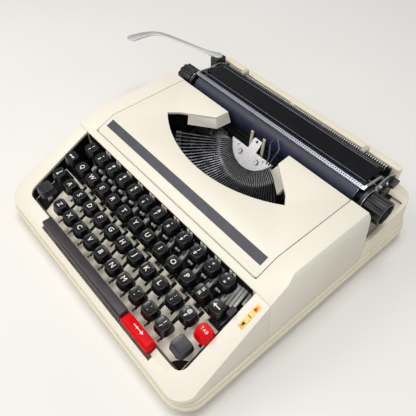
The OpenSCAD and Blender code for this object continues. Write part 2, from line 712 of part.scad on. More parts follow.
// Function keys: [post x, y, top z, cap centre x], set out from the ends of their rows
shift_l = [row_x0[3] - 28.9, key_rows_y[3], key_rows_z[3], row_x0[3] - 31];
shift_r = [row_x0[3] + 9 * key_pitch + 21.65, key_rows_y[3], key_rows_z[3], row_x0[3] + 9 * key_pitch + 24.05];
lock_k = [row_x0[2] - 24, key_rows_y[2], key_rows_z[2], row_x0[2] - 21.8];
margin_k = [row_x0[1] - 23.4, key_rows_y[1], key_rows_z[1], row_x0[1] - 21];
back_k = [row_x0[1] + 10 * key_pitch + 20.9, key_rows_y[1], key_rows_z[1], row_x0[1] + 10 * key_pitch + 19.1];
red_k = [row_x0[2] + 10 * key_pitch + 20.3, key_rows_y[2], key_rows_z[2], row_x0[2] + 10 * key_pitch + 20.7];
space_a = row_x0[0] + 2 * key_pitch + side_lever;
space_b = row_x0[0] + 7 * key_pitch + side_lever;
tab_a = row_x0[0] + 9 * key_pitch + side_lever;

module shift_keytops() color([0.14, 0.14, 0.16]) {
    cap(shift_l[3], shift_l[1], shift_l[2], shift_w, shift_w - 0.5, shift_l[0]);
    cap(shift_r[3], shift_r[1], shift_r[2], shift_w, shift_w - 0.5, shift_r[0]);
}
module shift_frame() color([0.6, 0.6, 0.62]) {
    key_lever(shift_l[0], shift_l[1], shift_l[2]);
    key_lever(shift_r[0], shift_r[1], shift_r[2]);
    // bail over all the other levers, seated on an arm of each of the two
    for (x = [shift_l[0], shift_r[0]])
        translate([x - lever_t / 2, fulcrum_y - 30, fulcrum_z]) cube([lever_t, 5, 10]);
    translate([shift_l[0] - lever_t / 2, fulcrum_y - 30, fulcrum_z + 10 + run_fit])
        cube([shift_r[0] - shift_l[0] + lever_t, 5, 2]);
}
module shift_lock_top() color([0.12, 0.12, 0.14])
    cap(lock_k[3], lock_k[1], lock_k[2], cap_w, cap_d, lock_k[0]);
module shift_lock_lever() color([0.6, 0.6, 0.62]) key_lever(lock_k[0], lock_k[1], lock_k[2]);
module margin_key_top() color([0.12, 0.12, 0.14])
    cap(margin_k[3], margin_k[1], margin_k[2], cap_w, cap_d, margin_k[0]);
module margin_key_lever() color([0.6, 0.6, 0.62]) key_lever(margin_k[0], margin_k[1], margin_k[2]);
module backspace_top() color([0.12, 0.12, 0.14])
    cap(back_k[3], back_k[1], back_k[2], cap_w, cap_d, back_k[0]);
module backspace_lever() color([0.6, 0.6, 0.62]) key_lever(back_k[0], back_k[1], back_k[2]);
module red_key_top() color([0.8, 0.08, 0.12]) cap(red_k[3], red_k[1], red_k[2], cap_w, cap_d, red_k[0]);
module red_key_lever() color([0.6, 0.6, 0.62]) key_lever(red_k[0], red_k[1], red_k[2]);

// A bar-shaped key from x0 to x1, with slots for its posts
module bar_cap(x0, x1, posts) difference() {
    translate([(x0 + x1) / 2, space_y, space_z - 10]) linear_extrude(10) rrect(x1 - x0, space_d, 1.5);
    for (p = posts) translate([p - lever_t / 2, space_y - 2.5, space_z - 11]) cube([lever_t, 5, 4]);
}
module space_bar_top() color([0.2, 0.2, 0.22]) bar_cap(space_x0, space_x1, [space_a, space_b]);
module space_bar_levers() color([0.6, 0.6, 0.62])
    for (p = [space_a, space_b]) key_lever(p, space_y, space_z - 2);
module tab_bar_top() color([0.8, 0.08, 0.12]) bar_cap(tab_x0, tab_x1, [tab_a]);
module tab_bar_lever() color([0.6, 0.6, 0.62]) key_lever(tab_a, space_y, space_z - 2);

// Ribbon selector: a small knob on a rocking lever at the right of the keys
module ribbon_selector() color([0.3, 0.3, 0.32]) {
    translate([frame_x - 5.4, 0, 0]) rotate([90, 0, 90]) linear_extrude(1.6) difference() {
        union() {
            translate([sel_y, 34]) circle(5);
            polygon([[sel_y - 4, 31], [sel_y + 1, 38.9], [sel_y - 38, 62.5], [sel_y - 45, 62.5],
                [sel_y - 42, 55]]);
        }
        translate([sel_y, 34]) circle(2 + run_fit);
    }
    translate([frame_x - 5.1, sel_y - 42, 62]) linear_extrude(6) rrect(5, 9, 2);
}

// Carriage

// End plate in the plane of Y and Z, set out from the platen's axis
module end_plate(x)
translate([x, platen_y, platen_z]) rotate([90, 0, 90]) linear_extrude(plate_t) difference() {
    union() {
        polygon([[-14, -6.5], [-8, -14.5], [6.7, -19.5], [41.7, -19.5], [43.7, -14.5], [41.7, 7.5],
            [32.7, 12.5], [22.7, 12.5], [10, 9], [-14, 4]]);
        circle(14.3);
    }
    circle(shaft_r + run_fit);
    translate([bail_y - platen_y, bail_z - platen_z]) circle(2 + run_fit);
}

module carriage_frame() color([0.2, 0.2, 0.22]) {
    end_plate(car_x + plate_in);
    end_plate(car_x - plate_out);
    // rear tie bar
    translate([car_x - plate_in - 1, rod_y2 - 2, 68]) cube([2 * plate_in + 2, 7, 8]);
    // front tie under the platen
    translate([car_x - plate_in - 1, platen_y - 7.3, 58]) cube([2 * plate_in + 2, 8, 2]);
    // bracket of the return lever, outside the left end plate
    difference() {
        translate([car_x - plate_out - 11, rod_y2 - 5, 78]) cube([11.5, 14, lever_z - 78.05]);
        translate([lever_pivot[0], lever_pivot[1], 70]) cylinder(h = 30, r = 2.2);
    }
    // stud of the release lever
    rod_x(car_x + plate_out - 0.5, car_x + plate_out + 3, release_y, release_z, 1.5);
}

module carriage_rods() color([0.75, 0.75, 0.77])
    for (y = [rod_y1, rod_y2]) rod_x(car_x - plate_in, car_x + plate_in, y, rod_z, rod_r);

module platen() color([0.2, 0.21, 0.26]) {
    rod_x(car_x - platen_l / 2, car_x + platen_l / 2, platen_y, platen_z, platen_r);
    rod_x(car_x - plate_out - knob_gap - 2 - knob_seat, car_x + plate_out + knob_gap + knob_seat,
        platen_y, platen_z, shaft_r);
}

// Fluted knob with a hollow outer end; dir is +1 on the right
module knob(x, dir) translate([x, platen_y, platen_z]) rotate([0, dir * 90, 0]) difference() {
    union() {
        cylinder(h = knob_l, r = knob_r - 1);
        for (a = [0:30:330]) rotate([0, 0, a]) translate([knob_r - 1.8, 0, 0])
            cylinder(h = knob_l, r = 1.8, $fn = 16);
    }
    translate([0, 0, -1]) cylinder(h = knob_seat + 1, r = shaft_r + run_fit);
    // hollow end, crossed by two ribs
    translate([0, 0, knob_seat + 1.5]) difference() {
        cylinder(h = knob_l, r = knob_r - 2.6);
        for (a = [0, 90]) rotate([0, 0, a]) translate([-knob_r, -0.8, -1]) cube([2 * knob_r, 1.6, 4.5]);
    }
}
module platen_knobs() color([0.1, 0.1, 0.11]) {
    knob(car_x + plate_out + knob_gap, 1);
    knob(car_x - plate_out - knob_gap - 2, -1);
}

// Thin deflector below and behind the printing line, set out from the platen's axis
module paper_deflector() color([0.1, 0.11, 0.2]) translate([0, platen_y, platen_z])
    side([[-16.3, -19.5], [-15.3, -19.5], [-15.3, -17.5], [-7.3, -17.5], [-7.3, -16.5], [-15.3, -16.5],
        [-13.7, -8], [-14.7, -8]], car_x - plate_in, car_x + plate_in);

// Smooth paper table behind the platen, with notched front corners and a rounded rear edge
module paper_table() color([0.08, 0.08, 0.1]) {
    half = platen_l / 2;
    difference() {
        translate([0, platen_y, platen_z + platen_r])
            side([[2.1, 1.2], [2.5, 0.2], [rod_y2 - platen_y - 4.5, 0.2], [rod_y2 - platen_y - 4.5, 1.4]],
                car_x - half, car_x + half);
        for (s = [-1, 1]) translate([car_x + s * half - 5, platen_y - 5, 80]) cube([10, 13, 30]);
    }
    rod_x(car_x - half + 2, car_x + half - 2, rod_y2 - 4.5, platen_z + platen_r + 0.5, 2.2);
    // brackets down to the tie bar
    for (s = [-1, 1])
        translate([car_x + s * 90 - 5, rod_y2 - 3, 76]) cube([10, 2.5, platen_z + platen_r - 76]);
}

// Paper bail: a narrow graduated strip that lies on the platen, between two thin arms
module paper_bail() color([0.75, 0.75, 0.75]) {
    translate([0, platen_y, platen_z + platen_r])
        side([[-5.5, -0.3], [-5.7, 0.5], [-1.6, 1.5], [-1.4, 0.7]],
            car_x - plate_in + 2.5, car_x + plate_in - 2.5);
    // arms with their pivot studs
    for (s = [-1, 1]) {
        side([[platen_y - 5.5, platen_z + platen_r - 0.3], [platen_y - 5.9, platen_z + platen_r + 1.4],
            [platen_y - 1, platen_z + platen_r + 3], [bail_y - 5, bail_z + 7.4], [bail_y + 2.4, bail_z + 1.6],
            [bail_y + 1.8, bail_z - 2], [bail_y - 2.2, bail_z - 1.6], [bail_y - 6.6, bail_z + 4.6],
            [platen_y - 0.6, platen_z + platen_r + 0.7]],
            car_x + s * (plate_in - 2.5) - 1, car_x + s * (plate_in - 2.5) + 1);
        rod_x(car_x + s * (plate_in + 0.7) - 2.4, car_x + s * (plate_in + 0.7) + 2.4, bail_y, bail_z, 2);
    }
}

// Rail with the margin scale, on the rear of the carriage's tie bar
module margin_rail() color([0.15, 0.15, 0.16])
    translate([car_x - plate_in + 3, rod_y2 + 5, 69]) cube([2 * plate_in - 6, 2.5, 19]);

// A margin stop straddles the rail
module margin_stop(x) difference() {
    translate([x - 2.25, rod_y2 + 2.4, 83.5]) cube([4.5, 9.6, 8]);
    translate([x - 3, rod_y2 + 4.95, 80]) cube([6, 2.6, 8.05]);
}
module margin_stop_left() color([0.85, 0.85, 0.82, 0.7]) margin_stop(car_x - 88);
module margin_stop_right() color([0.85, 0.85, 0.82, 0.7]) margin_stop(car_x + 85);

// Carriage return lever: a long flat arm that bends into a broad blade; points are [x, y, half width]
lever_line = [[0, 0, 5.2], [-15, -5.2, 2.7], [-70, -18, 2.7], [-83, -22.6, 3.1], [-91.5, -29.5, 4],
    [-96, -40, 5.2], [-99, -55.5, 6.8]];
module return_lever() color([0.8, 0.8, 0.8]) translate([lever_pivot[0], lever_pivot[1], 0]) {
    translate([0, 0, lever_z]) linear_extrude(blade_t)
        for (i = [0:len(lever_line) - 2]) hull() {
            lever_dot(lever_line[i]);
            lever_dot(lever_line[i + 1]);
        }
    // stud that turns in the carriage's bracket
    translate([0, 0, 79]) cylinder(h = lever_z - 78.5, r = 2.2 - run_fit);
}
module lever_dot(p) translate([p[0], p[1]]) circle(p[2]);

// Carriage release: a flat arm outside the right end plate, with a grip at its rear end
release_y = bail_y - 5;
release_z = 74;
module release_lever() color([0.08, 0.08, 0.09]) translate([car_x + plate_out + 0.4, release_y, release_z])
    rotate([90, 0, 90]) {
        linear_extrude(2) difference() {
            hull() {
                circle(4);
                translate([16, 4]) circle(2.4);
            }
            circle(1.5 + run_fit);
        }
        linear_extrude(5) hull() {
            translate([11, 2.9]) circle(2.2);
            translate([18, 4.6]) circle(2.4);
        }
    }

// One line for each sub-part
base_shell();
rubber_feet();
keyboard_surround();
main_housing();
selector_decal();
chassis();
fulcrum_rod();
key_mask();
rail_bearings();
cover_hinge_pins();
ribbon_cover();
label_strip();
segment();
segment_wire();
segment_plate();
segment_screws();
typebars();
typebar_h();
ribbon_vibrator();
ribbon();
spool_left();
spool_right();
keytops_row1();
keytops_row2();
keytops_row3();
keytops_row4();
keylevers_row1();
keylevers_row2();
keylevers_row3();
keylevers_row4();
keytop_h();
keylever_h();
shift_keytops();
shift_frame();
shift_lock_top();
shift_lock_lever();
margin_key_top();
margin_key_lever();
backspace_top();
backspace_lever();
tab_bar_top();
tab_bar_lever();
space_bar_top();
space_bar_levers();
red_key_top();
red_key_lever();
ribbon_selector();
carriage_frame();
carriage_rods();
platen();
platen_knobs();
paper_deflector();
paper_table();
paper_bail();
margin_rail();
margin_stop_left();
margin_stop_right();
return_lever();
release_lever();
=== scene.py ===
# %% [markdown]
# # A portable typewriter, piece by piece
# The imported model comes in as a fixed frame: every solid is already in its place, in metres, with
# X to the typist's right, Y from the keyboard to the rear and Z up. This lesson gives each
# surface its finish and models in more detail the pieces that the eye goes to.

# %% Load the frame
import math

import bmesh
import bpy
from mathutils import Matrix, Vector


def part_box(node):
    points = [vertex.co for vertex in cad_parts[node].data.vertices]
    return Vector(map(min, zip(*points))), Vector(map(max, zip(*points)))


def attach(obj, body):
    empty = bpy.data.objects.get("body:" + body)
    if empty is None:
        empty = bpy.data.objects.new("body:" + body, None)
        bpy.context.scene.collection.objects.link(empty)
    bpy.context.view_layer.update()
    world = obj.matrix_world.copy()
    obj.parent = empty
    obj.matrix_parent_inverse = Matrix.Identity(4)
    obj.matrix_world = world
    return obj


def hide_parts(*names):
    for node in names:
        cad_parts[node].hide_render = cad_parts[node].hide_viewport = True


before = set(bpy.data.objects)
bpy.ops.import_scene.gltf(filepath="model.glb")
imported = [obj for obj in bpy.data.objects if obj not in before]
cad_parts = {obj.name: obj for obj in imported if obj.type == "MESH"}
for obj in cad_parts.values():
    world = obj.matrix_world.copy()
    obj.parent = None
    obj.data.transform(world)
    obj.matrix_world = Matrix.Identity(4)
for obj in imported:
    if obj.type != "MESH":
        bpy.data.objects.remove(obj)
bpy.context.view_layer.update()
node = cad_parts
MM = 0.001

# %% [markdown]
# ## Materials
# A finish is a small network of nodes. One function turns the hex colours of a paint card into
# the linear numbers that the renderer works with, and one adds a node with its settings and
# links, so that each material below reads as a short list.

# %% Nodes and colours
def linear(hex_colour):
    """sRGB hex, such as 'e8e0c8', as linear RGBA."""
    parts = [int(hex_colour[i:i + 2], 16) / 255 for i in (0, 2, 4)]
    return [p / 12.92 if p <= 0.04045 else ((p + 0.055) / 1.055) ** 2.4 for p in parts] + [1.0]


def add(tree, kind, settings=None, **sockets):
    """Adds one shader node. settings are its properties; a socket gets a value or another
    socket, and one that shares its name with others is given by its number, as _6."""
    new = tree.nodes.new(kind)
    for name, value in (settings or {}).items():
        setattr(new, name, value)
    for name, value in sockets.items():
        key = int(name[1:]) if name[0] == "_" else name.replace("_", " ")
        target = new.inputs[key]
        if isinstance(value, bpy.types.NodeSocket):
            tree.links.new(value, target)
        else:
            target.default_value = value
    return new


def start_material(name):
    """An empty material: its tree, its shader and the point in the object's own space."""
    material = bpy.data.materials.new(name)
    material.use_nodes = True
    tree = material.node_tree
    shader = tree.nodes["Principled BSDF"]
    place = add(tree, "ShaderNodeTexCoord").outputs["Object"]
    return material, tree, shader, place


print("colour check, middle grey:", round(linear("808080")[0], 3))

# %% [markdown]
# Four patterns are enough for this object: soft noise of a real size, a ramp of colours over it,
# a range of numbers over it for the gloss, and a relief of a real depth.

# %% Patterns
def noise(tree, place, size_mm, detail=2.0, rough=0.5):
    """Noise whose blobs are about size_mm across."""
    return add(tree, "ShaderNodeTexNoise", None, Vector=place, Scale=1 / (size_mm * MM),
               Detail=detail, Roughness=rough).outputs["Fac"]


def ramp(tree, factor, stops):
    """A colour ramp through (position, hex) stops."""
    new = add(tree, "ShaderNodeValToRGB", Fac=factor)
    elements = new.color_ramp.elements
    while len(elements) < len(stops):
        elements.new(0.5)
    for element, (place, colour) in zip(elements, stops):
        element.position = place
        element.color = linear(colour)
    return new.outputs["Color"]


def grey_ramp(tree, factor, low, high, start=0.3, end=0.7):
    """Maps a pattern from start..end to the numbers low..high."""
    return add(tree, "ShaderNodeMapRange", None, Value=factor, From_Min=start, From_Max=end,
               To_Min=low, To_Max=high).outputs["Result"]


def bump(tree, shader, height, depth_mm):
    """Relief of a real depth in millimetres."""
    relief = add(tree, "ShaderNodeBump", None, Height=height, Distance=depth_mm * MM, Strength=1.0)
    tree.links.new(relief.outputs["Normal"], shader.inputs["Normal"])


def dull(material, specular):
    """Takes the reflections down where a surface has lost its polish."""
    shader = material.node_tree.nodes["Principled BSDF"]
    shader.inputs["Specular IOR Level"].default_value = specular


print("patterns ready")

# %% [markdown]
# ### Moulded ABS case
# The case is ABS from a steel mould that was spark eroded, which leaves a fine matt grain. The
# real grain is about half a millimetre; it is drawn at 0.9 mm so that it shows. Cream ABS yellows
# with light, unevenly, so one soft noise moves the colour a little and another leaves specks of
# dirt. The tray is from another batch and a shade darker; the comb under the keys is painted
# paler than the case, as painted light for the shade it lies in under the caps.

# %% Case plastics
spark_grain_mm, spark_depth_mm = 0.9, 0.02
yellowing_mm, speck_mm, wiped_mm = 70, 6, 25


def moulded_abs(name, base, warm, dirt, rough):
    material, tree, shader, place = start_material(name)
    yellowing = noise(tree, place, yellowing_mm, 3)
    colour = ramp(tree, yellowing, [(0.3, base), (0.62, base), (0.85, warm)])
    specks = grey_ramp(tree, noise(tree, place, speck_mm, 5, 0.7), 0, 0.35, 0.62, 0.82)
    mixed = add(tree, "ShaderNodeMix", {"data_type": "RGBA"}, Factor=specks, _6=colour,
                _7=linear(dirt))
    tree.links.new(mixed.outputs[2], shader.inputs["Base Color"])
    wiped = noise(tree, place, wiped_mm, 4)
    tree.links.new(grey_ramp(tree, wiped, rough - 0.05, rough + 0.08), shader.inputs["Roughness"])
    bump(tree, shader, noise(tree, place, spark_grain_mm, 2), spark_depth_mm)
    return material


cream_abs = moulded_abs("cream_moulded_abs", "e6e0d1", "e1d9c2", "d0c6ac", 0.42)
tray_abs = moulded_abs("cream_tray_abs", "e2dac4", "dccfae", "c4b691", 0.45)
# the comb's cream is paler than the case's: painted light for the shade under the caps
comb_abs_painted_light = moulded_abs("cream_comb_abs_painted_light", "f2ecdc", "e8dec6", "c4b692", 0.5)
print("case plastics:", cream_abs.name, tray_abs.name, comb_abs_painted_light.name)

# %% [markdown]
# ### Polished plastics
# Key caps are polished ABS, worn to a soft gloss by fingers. A pattern of skin grease in the
# roughness shows as blurred patches in the reflections. Knobs and small mouldings are duller.

# %% Polished plastics
touch_mm, grease_mm, flow_mm, flow_depth_mm = 9, 4, 1.2, 0.006


def polished_abs(name, base, rubbed, rough, spread=0.12):
    material, tree, shader, place = start_material(name)
    touch = noise(tree, place, touch_mm, 3)
    tree.links.new(ramp(tree, touch, [(0.35, base), (0.75, rubbed)]), shader.inputs["Base Color"])
    grease = noise(tree, place, grease_mm, 4)
    tree.links.new(grey_ramp(tree, grease, rough, rough + spread), shader.inputs["Roughness"])
    bump(tree, shader, noise(tree, place, flow_mm, 1), flow_depth_mm)
    return material


# jet black caps, the glossiest plastic on the machine
key_abs = polished_abs("black_key_abs", "08080a", "101013", 0.2)
# the two shift caps, a violet grey that has faded
shift_abs = polished_abs("grey_violet_shift_abs", "222027", "2b2932", 0.3)
# the space bar, browner and worn by the thumbs
bar_abs = polished_abs("brown_grey_bar_abs", "332c2f", "3d3537", 0.3)
# the red keys: full colour with weak reflections
red_abs = polished_abs("red_key_abs", "d4000f", "dc0a18", 0.3)
dull(red_abs, 0.12)
# ribbon spools, and the knobs and release lever
spool_abs = polished_abs("black_spool_abs", "121214", "1c1c1f", 0.3)
knob_abs = polished_abs("black_knob_abs", "0f0f11", "1a1a1d", 0.36)
# raised tabs of the comb are a paler cream, painted light; its pockets and the apron in front of
# it are tan, painted shade
tab_abs_painted_light = polished_abs("pale_comb_tab_abs_painted_light", "efe9d6", "e6dfc8", 0.35)
shade_abs = polished_abs("shaded_comb_pocket_abs", "6b6350", "7a7059", 0.6)
# the bare strip on the cover
strip_plastic = polished_abs("dark_grey_strip", "35353f", "3d3d48", 0.38, 0.08)
print("polished plastics:", key_abs.name, red_abs.name)

# %% [markdown]
# ### Metals
# Plain steel levers are bare steel with a film of oil; the segment is a dull grey casting; the
# lever, bail and plate are plated. Metals keep the default IOR, and their look comes from colour,
# roughness and the direction of the brushing.

# %% Metals
def metal(name, base, dark, rough, spread=0.15, blotch_mm=8, grain=(1, 1, 1), grain_mm=0.5,
          depth_mm=0.004):
    material, tree, shader, place = start_material(name)
    shader.inputs["Metallic"].default_value = 1.0
    cloud = noise(tree, place, blotch_mm, 4)
    tree.links.new(ramp(tree, cloud, [(0.35, base), (0.8, dark)]), shader.inputs["Base Color"])
    tree.links.new(grey_ramp(tree, cloud, rough, rough + spread), shader.inputs["Roughness"])
    stretch = add(tree, "ShaderNodeMapping", None, Vector=place, Scale=grain).outputs["Vector"]
    bump(tree, shader, noise(tree, stretch, grain_mm, 2), depth_mm)
    return material


# brushed along the lever, so the grain is drawn out along Y
lever_steel = metal("oiled_lever_steel", "b9b9b8", "8d8b87", 0.28, grain=(1, 0.05, 1))
# type bars are blued, dark with a bright rub here and there
# this blued steel also serves for the dark rings round the plate's screws, as painted shade
type_steel_and_shade = metal("blued_type_steel_and_shade", "66666a", "2a2a2c", 0.34)
# the sand of the mould shows on the segment
cast_grey = metal("cast_segment_metal", "a4a4a6", "7c7b7a", 0.4, 0.2, 5,
                  grain_mm=0.6, depth_mm=0.02)
# a nearly white satin plate
plate_steel = metal("satin_plate_steel", "dcdce0", "cfcfd2", 0.34, 0.1)
# spring wire of the card guide, blue from its tempering
guide_steel = metal("blued_guide_steel", "a9b0cc", "868dab", 0.3)
# chrome of the return lever, dulled by the hand
lever_chrome = metal("worn_lever_chrome", "fafafa", "e9e7e2", 0.4, 0.1, 20, grain_mm=2)
# bright steel for the plates' edges and bore rims: painted highlight of their lit edges
edge_highlight_steel = metal("plate_edge_painted_highlight", "d6d6d4", "b9b8b4", 0.2)
# the bail's strip, brushed along X
satin_chrome = metal("satin_chrome_strip", "c9cad0", "b9bac1", 0.36, 0.1, 15, (0.05, 1, 1), 0.4)
# stamped foil of the selector's decal
gold_foil = metal("gold_foil_sticker", "d9b25c", "c69a45", 0.25, 0.1, 5)
print("metals:", lever_steel.name, lever_chrome.name)

# %% [markdown]
# ### Paints, rubber and prints
# Stoved enamel, hard rubber and printing ink are all a plain colour with slow clouds of wear in
# it, and differ in gloss and in how coarse their surface is.

# %% Paints, rubber and prints
wear_mm = 14


def enamel(name, base, worn, rough, grain_mm=1.5, depth_mm=0.01, spread=0.1):
    material, tree, shader, place = start_material(name)
    cloud = noise(tree, place, wear_mm, 4)
    tree.links.new(ramp(tree, cloud, [(0.4, base), (0.85, worn)]), shader.inputs["Base Color"])
    tree.links.new(grey_ramp(tree, cloud, rough, rough + spread), shader.inputs["Roughness"])
    bump(tree, shader, noise(tree, place, grain_mm, 2), depth_mm)
    return material


# satin enamel on the inner frame and the carriage
frame_paint = enamel("grey_frame_paint", "3a3a3c", "4b4a49", 0.45)
carriage_paint = enamel("black_carriage_paint", "17171a", "222226", 0.35)
deflector_paint = enamel("blue_black_deflector_paint", "14161f", "1d1f2a", 0.4)
scale_paint = enamel("black_scale_paint", "1b1b1d", "262628", 0.4)
# gloss enamel, with the long waves of a thick coat
table_enamel = enamel("gloss_black_table_enamel", "05050a", "0a0a12", 0.2,
                      grain_mm=6, depth_mm=0.004, spread=0.06)
dull(table_enamel, 0.3)
# hard ground rubber of the platen, blue black; softer rubber of the feet
platen_rubber = enamel("platen_hard_rubber", "1e2036", "282a42", 0.42, 0.8, 0.008)
foot_rubber = enamel("foot_rubber", "161616", "202020", 0.7, 0.7, 0.02)
# small mouldings
vibrator_abs = enamel("cream_vibrator_plastic", "e3dcc0", "d2c8a2", 0.35)
worn_grey = enamel("pale_grey_bushing_plastic", "e4e2d8", "cfcdc2", 0.4, 2, 0.002)
# prints and fillings of legends and scales
white_paint = enamel("white_legend_paint", "eceae4", "dcd9d0", 0.5, 2, 0.002)
# this ink also serves for the slits of the plate's screws, as painted shade
black_ink_and_shade = enamel("black_print_ink_and_painted_shade", "141414", "1d1d1d", 0.5)
red_ink = enamel("red_print_ink", "c8261c", "b8301f", 0.45)
pale_foil = enamel("pale_yellow_foil_print", "e6d490", "dcc77d", 0.4, 2, 0.002)
# key arms: zinc, painted near white as painted light where the arms lie in shade, and black
# oxide, which takes no light; this black also serves as painted shade in the well, on the comb
# and on its slots
zinc_painted_light = enamel("zinc_arm_painted_light", "f4f4ee", "d8d8d0", 0.3, 2, 0.002)
black_arm_and_shade = enamel("black_oxide_arm_and_painted_shade", "050506", "0c0c0d", 0.6, 2, 0.002)
dull(black_arm_and_shade, 0.2)
# a pale grey for the two lines along the paper table's edges
edge_grey = enamel("pale_grey_edge_line", "8a8d96", "7c7f88", 0.4, 2, 0.002)
print("paints:", frame_paint.name, table_enamel.name)

# %% [markdown]
# ### Ribbon and margin stops
# The ribbon is woven cotton soaked with ink, with threads about 0.3 mm apart, drawn at 0.6 mm so
# that they show. The margin stops are milky polystyrene and let some light through.

# %% Ribbon and margin stops
thread_mm = 0.6


def ink_ribbon(name):
    material, tree, shader, place = start_material(name)
    weave = add(tree, "ShaderNodeTexWave", {"bands_direction": "X"}, Vector=place,
                Scale=1 / (thread_mm * MM) / 6.28, Distortion=1.0).outputs["Fac"]
    tree.links.new(ramp(tree, weave, [(0.2, "0b0b0e"), (0.9, "16161b")]),
                   shader.inputs["Base Color"])
    shader.inputs["Roughness"].default_value = 0.75
    bump(tree, shader, weave, 0.05)
    return material


def milky_plastic(name):
    material, tree, shader, place = start_material(name)
    cloud = noise(tree, place, 3, 2)
    tree.links.new(ramp(tree, cloud, [(0.3, "dad9cf"), (0.8, "c9c8bc")]),
                   shader.inputs["Base Color"])
    shader.inputs["Transmission Weight"].default_value = 0.35
    shader.inputs["Roughness"].default_value = 0.3
    bump(tree, shader, cloud, 0.01)
    return material


ribbon_cloth = ink_ribbon("inked_cotton_ribbon")
stop_plastic = milky_plastic("milky_stop_plastic")
print("materials:", len(bpy.data.materials))

# %% [markdown]
# Each solid of the frame now gets its finish by name. What isn't listed is a key top, which is
# black, or a lever, which is steel.

# %% Give every carried-over solid its finish
finish_of = {
    "base_shell": tray_abs, "rubber_feet": foot_rubber, "keyboard_surround": cream_abs,
    "main_housing": cream_abs, "ribbon_cover": cream_abs, "label_strip": strip_plastic,
    "selector_decal": gold_foil, "chassis": frame_paint, "fulcrum_rod": lever_steel,
    "key_mask": comb_abs_painted_light, "rail_bearings": frame_paint, "cover_hinge_pins": lever_steel,
    "segment": cast_grey, "segment_wire": lever_steel, "segment_plate": plate_steel,
    "segment_screws": plate_steel, "typebars": type_steel_and_shade, "typebar_h": type_steel_and_shade,
    "ribbon_vibrator": vibrator_abs, "ribbon": ribbon_cloth, "spool_left": spool_abs,
    "spool_right": spool_abs, "ribbon_selector": carriage_paint, "carriage_frame": carriage_paint,
    "carriage_rods": lever_steel, "platen": platen_rubber, "platen_knobs": knob_abs,
    "paper_deflector": deflector_paint, "paper_table": table_enamel, "paper_bail": satin_chrome,
    "margin_rail": scale_paint, "margin_stop_left": stop_plastic,
    "margin_stop_right": stop_plastic, "return_lever": lever_chrome, "release_lever": knob_abs,
    "space_bar_top": bar_abs, "tab_bar_top": red_abs, "red_key_top": red_abs,
}
for name, obj in node.items():
    material = finish_of.get(name)
    if material is None:
        material = key_abs if "top" in name else lever_steel
    obj.data.materials.clear()
    obj.data.materials.append(material)
print("dressed", len(node), "solids")

# %% [markdown]
# ## Tools for modelling
# New pieces are modelled as at the desk: a primitive is set down, its edges and faces are picked
# and worked on in edit mode, and the result is given a finish, a body to ride on and the CAD
# solid it stands for. All sizes below are in millimetres. An operator acts on all that is
# selected, so everything is deselected before each step.

# %% Selecting
def deselect():
    if bpy.context.object and bpy.context.object.mode != "OBJECT":
        bpy.ops.object.mode_set(mode="OBJECT")
    bpy.ops.object.select_all(action="DESELECT")


def activate(obj):
    deselect()
    obj.select_set(True)
    bpy.context.view_layer.objects.active = obj


def named(name):
    """The new object, with its place applied to its mesh."""
    bpy.ops.object.transform_apply(location=True, rotation=True, scale=True)
    bpy.context.object.name = name
    return bpy.context.object


def box_in_mm(name):
    """The two corners of a CAD solid's box, in millimetres."""
    return [[v / MM for v in corner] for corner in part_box(name)]


print("key comb's box in mm:", [[round(v) for v in corner] for corner in box_in_mm("key_mask")])

# %% [markdown]
# ### First shapes
# Three shapes begin every piece: a box, a round bar and a flat plate with any outline.

# %% First shapes
def box(name, low, high):
    """A box between two corners."""
    deselect()
    middle = [(a + b) / 2 * MM for a, b in zip(low, high)]
    size = [(b - a) * MM for a, b in zip(low, high)]
    bpy.ops.mesh.primitive_cube_add(size=1, location=middle, scale=size)
    return named(name)


def rod(name, start, end, radius, sides=24):
    """A round bar from start to end."""
    deselect()
    a, b = Vector(start) * MM, Vector(end) * MM
    turn = (b - a).to_track_quat("Z", "Y").to_euler()
    bpy.ops.mesh.primitive_cylinder_add(vertices=sides, radius=radius * MM, depth=(b - a).length,
                                        location=(a + b) / 2, rotation=turn)
    return named(name)


def plate(name, outline, low, high):
    """A flat plate with an outline of (x, y) points, counter-clockwise, between two heights."""
    mesh = bpy.data.meshes.new(name)
    mesh.from_pydata([(x * MM, y * MM, low * MM) for x, y in outline], [], [range(len(outline))])
    obj = bpy.data.objects.new(name, mesh)
    bpy.context.scene.collection.objects.link(obj)
    activate(obj)
    bpy.ops.object.mode_set(mode="EDIT")
    bpy.ops.mesh.select_all(action="SELECT")
    bpy.ops.mesh.extrude_region_move(
        TRANSFORM_OT_translate={"value": (0, 0, (high - low) * MM)})
    bpy.ops.mesh.select_all(action="SELECT")
    bpy.ops.mesh.normals_make_consistent(inside=False)
    bpy.ops.object.mode_set(mode="OBJECT")
    return obj


print("first shapes: box, rod, plate")

# %% [markdown]
# ### Picking edges and faces
# In edit mode, edges and faces are selected by their place or by the way they face.

# %% Picking edges and faces
def pick(obj, kind, test):
    """Goes into edit mode and selects the parts of one kind that pass a test."""
    activate(obj)
    bpy.ops.object.mode_set(mode="EDIT")
    bpy.ops.mesh.select_mode(type=kind)
    bpy.ops.mesh.select_all(action="DESELECT")
    work = bmesh.from_edit_mesh(obj.data)
    for item in {"EDGE": work.edges, "FACE": work.faces}[kind]:
        if test(item):
            item.select_set(True)
    work.select_flush_mode()
    bmesh.update_edit_mesh(obj.data)


def upright(edge, front=None):
    """True for a vertical edge, at the front or the rear only if asked."""
    a, b = edge.verts[0].co, edge.verts[1].co
    along = abs(a.z - b.z) > 1e-5 and abs(a.x - b.x) + abs(a.y - b.y) < 1e-5
    return along and (front is None or (a.y < 0) == front)


def at_top(face):
    return face.normal.z > 0.9


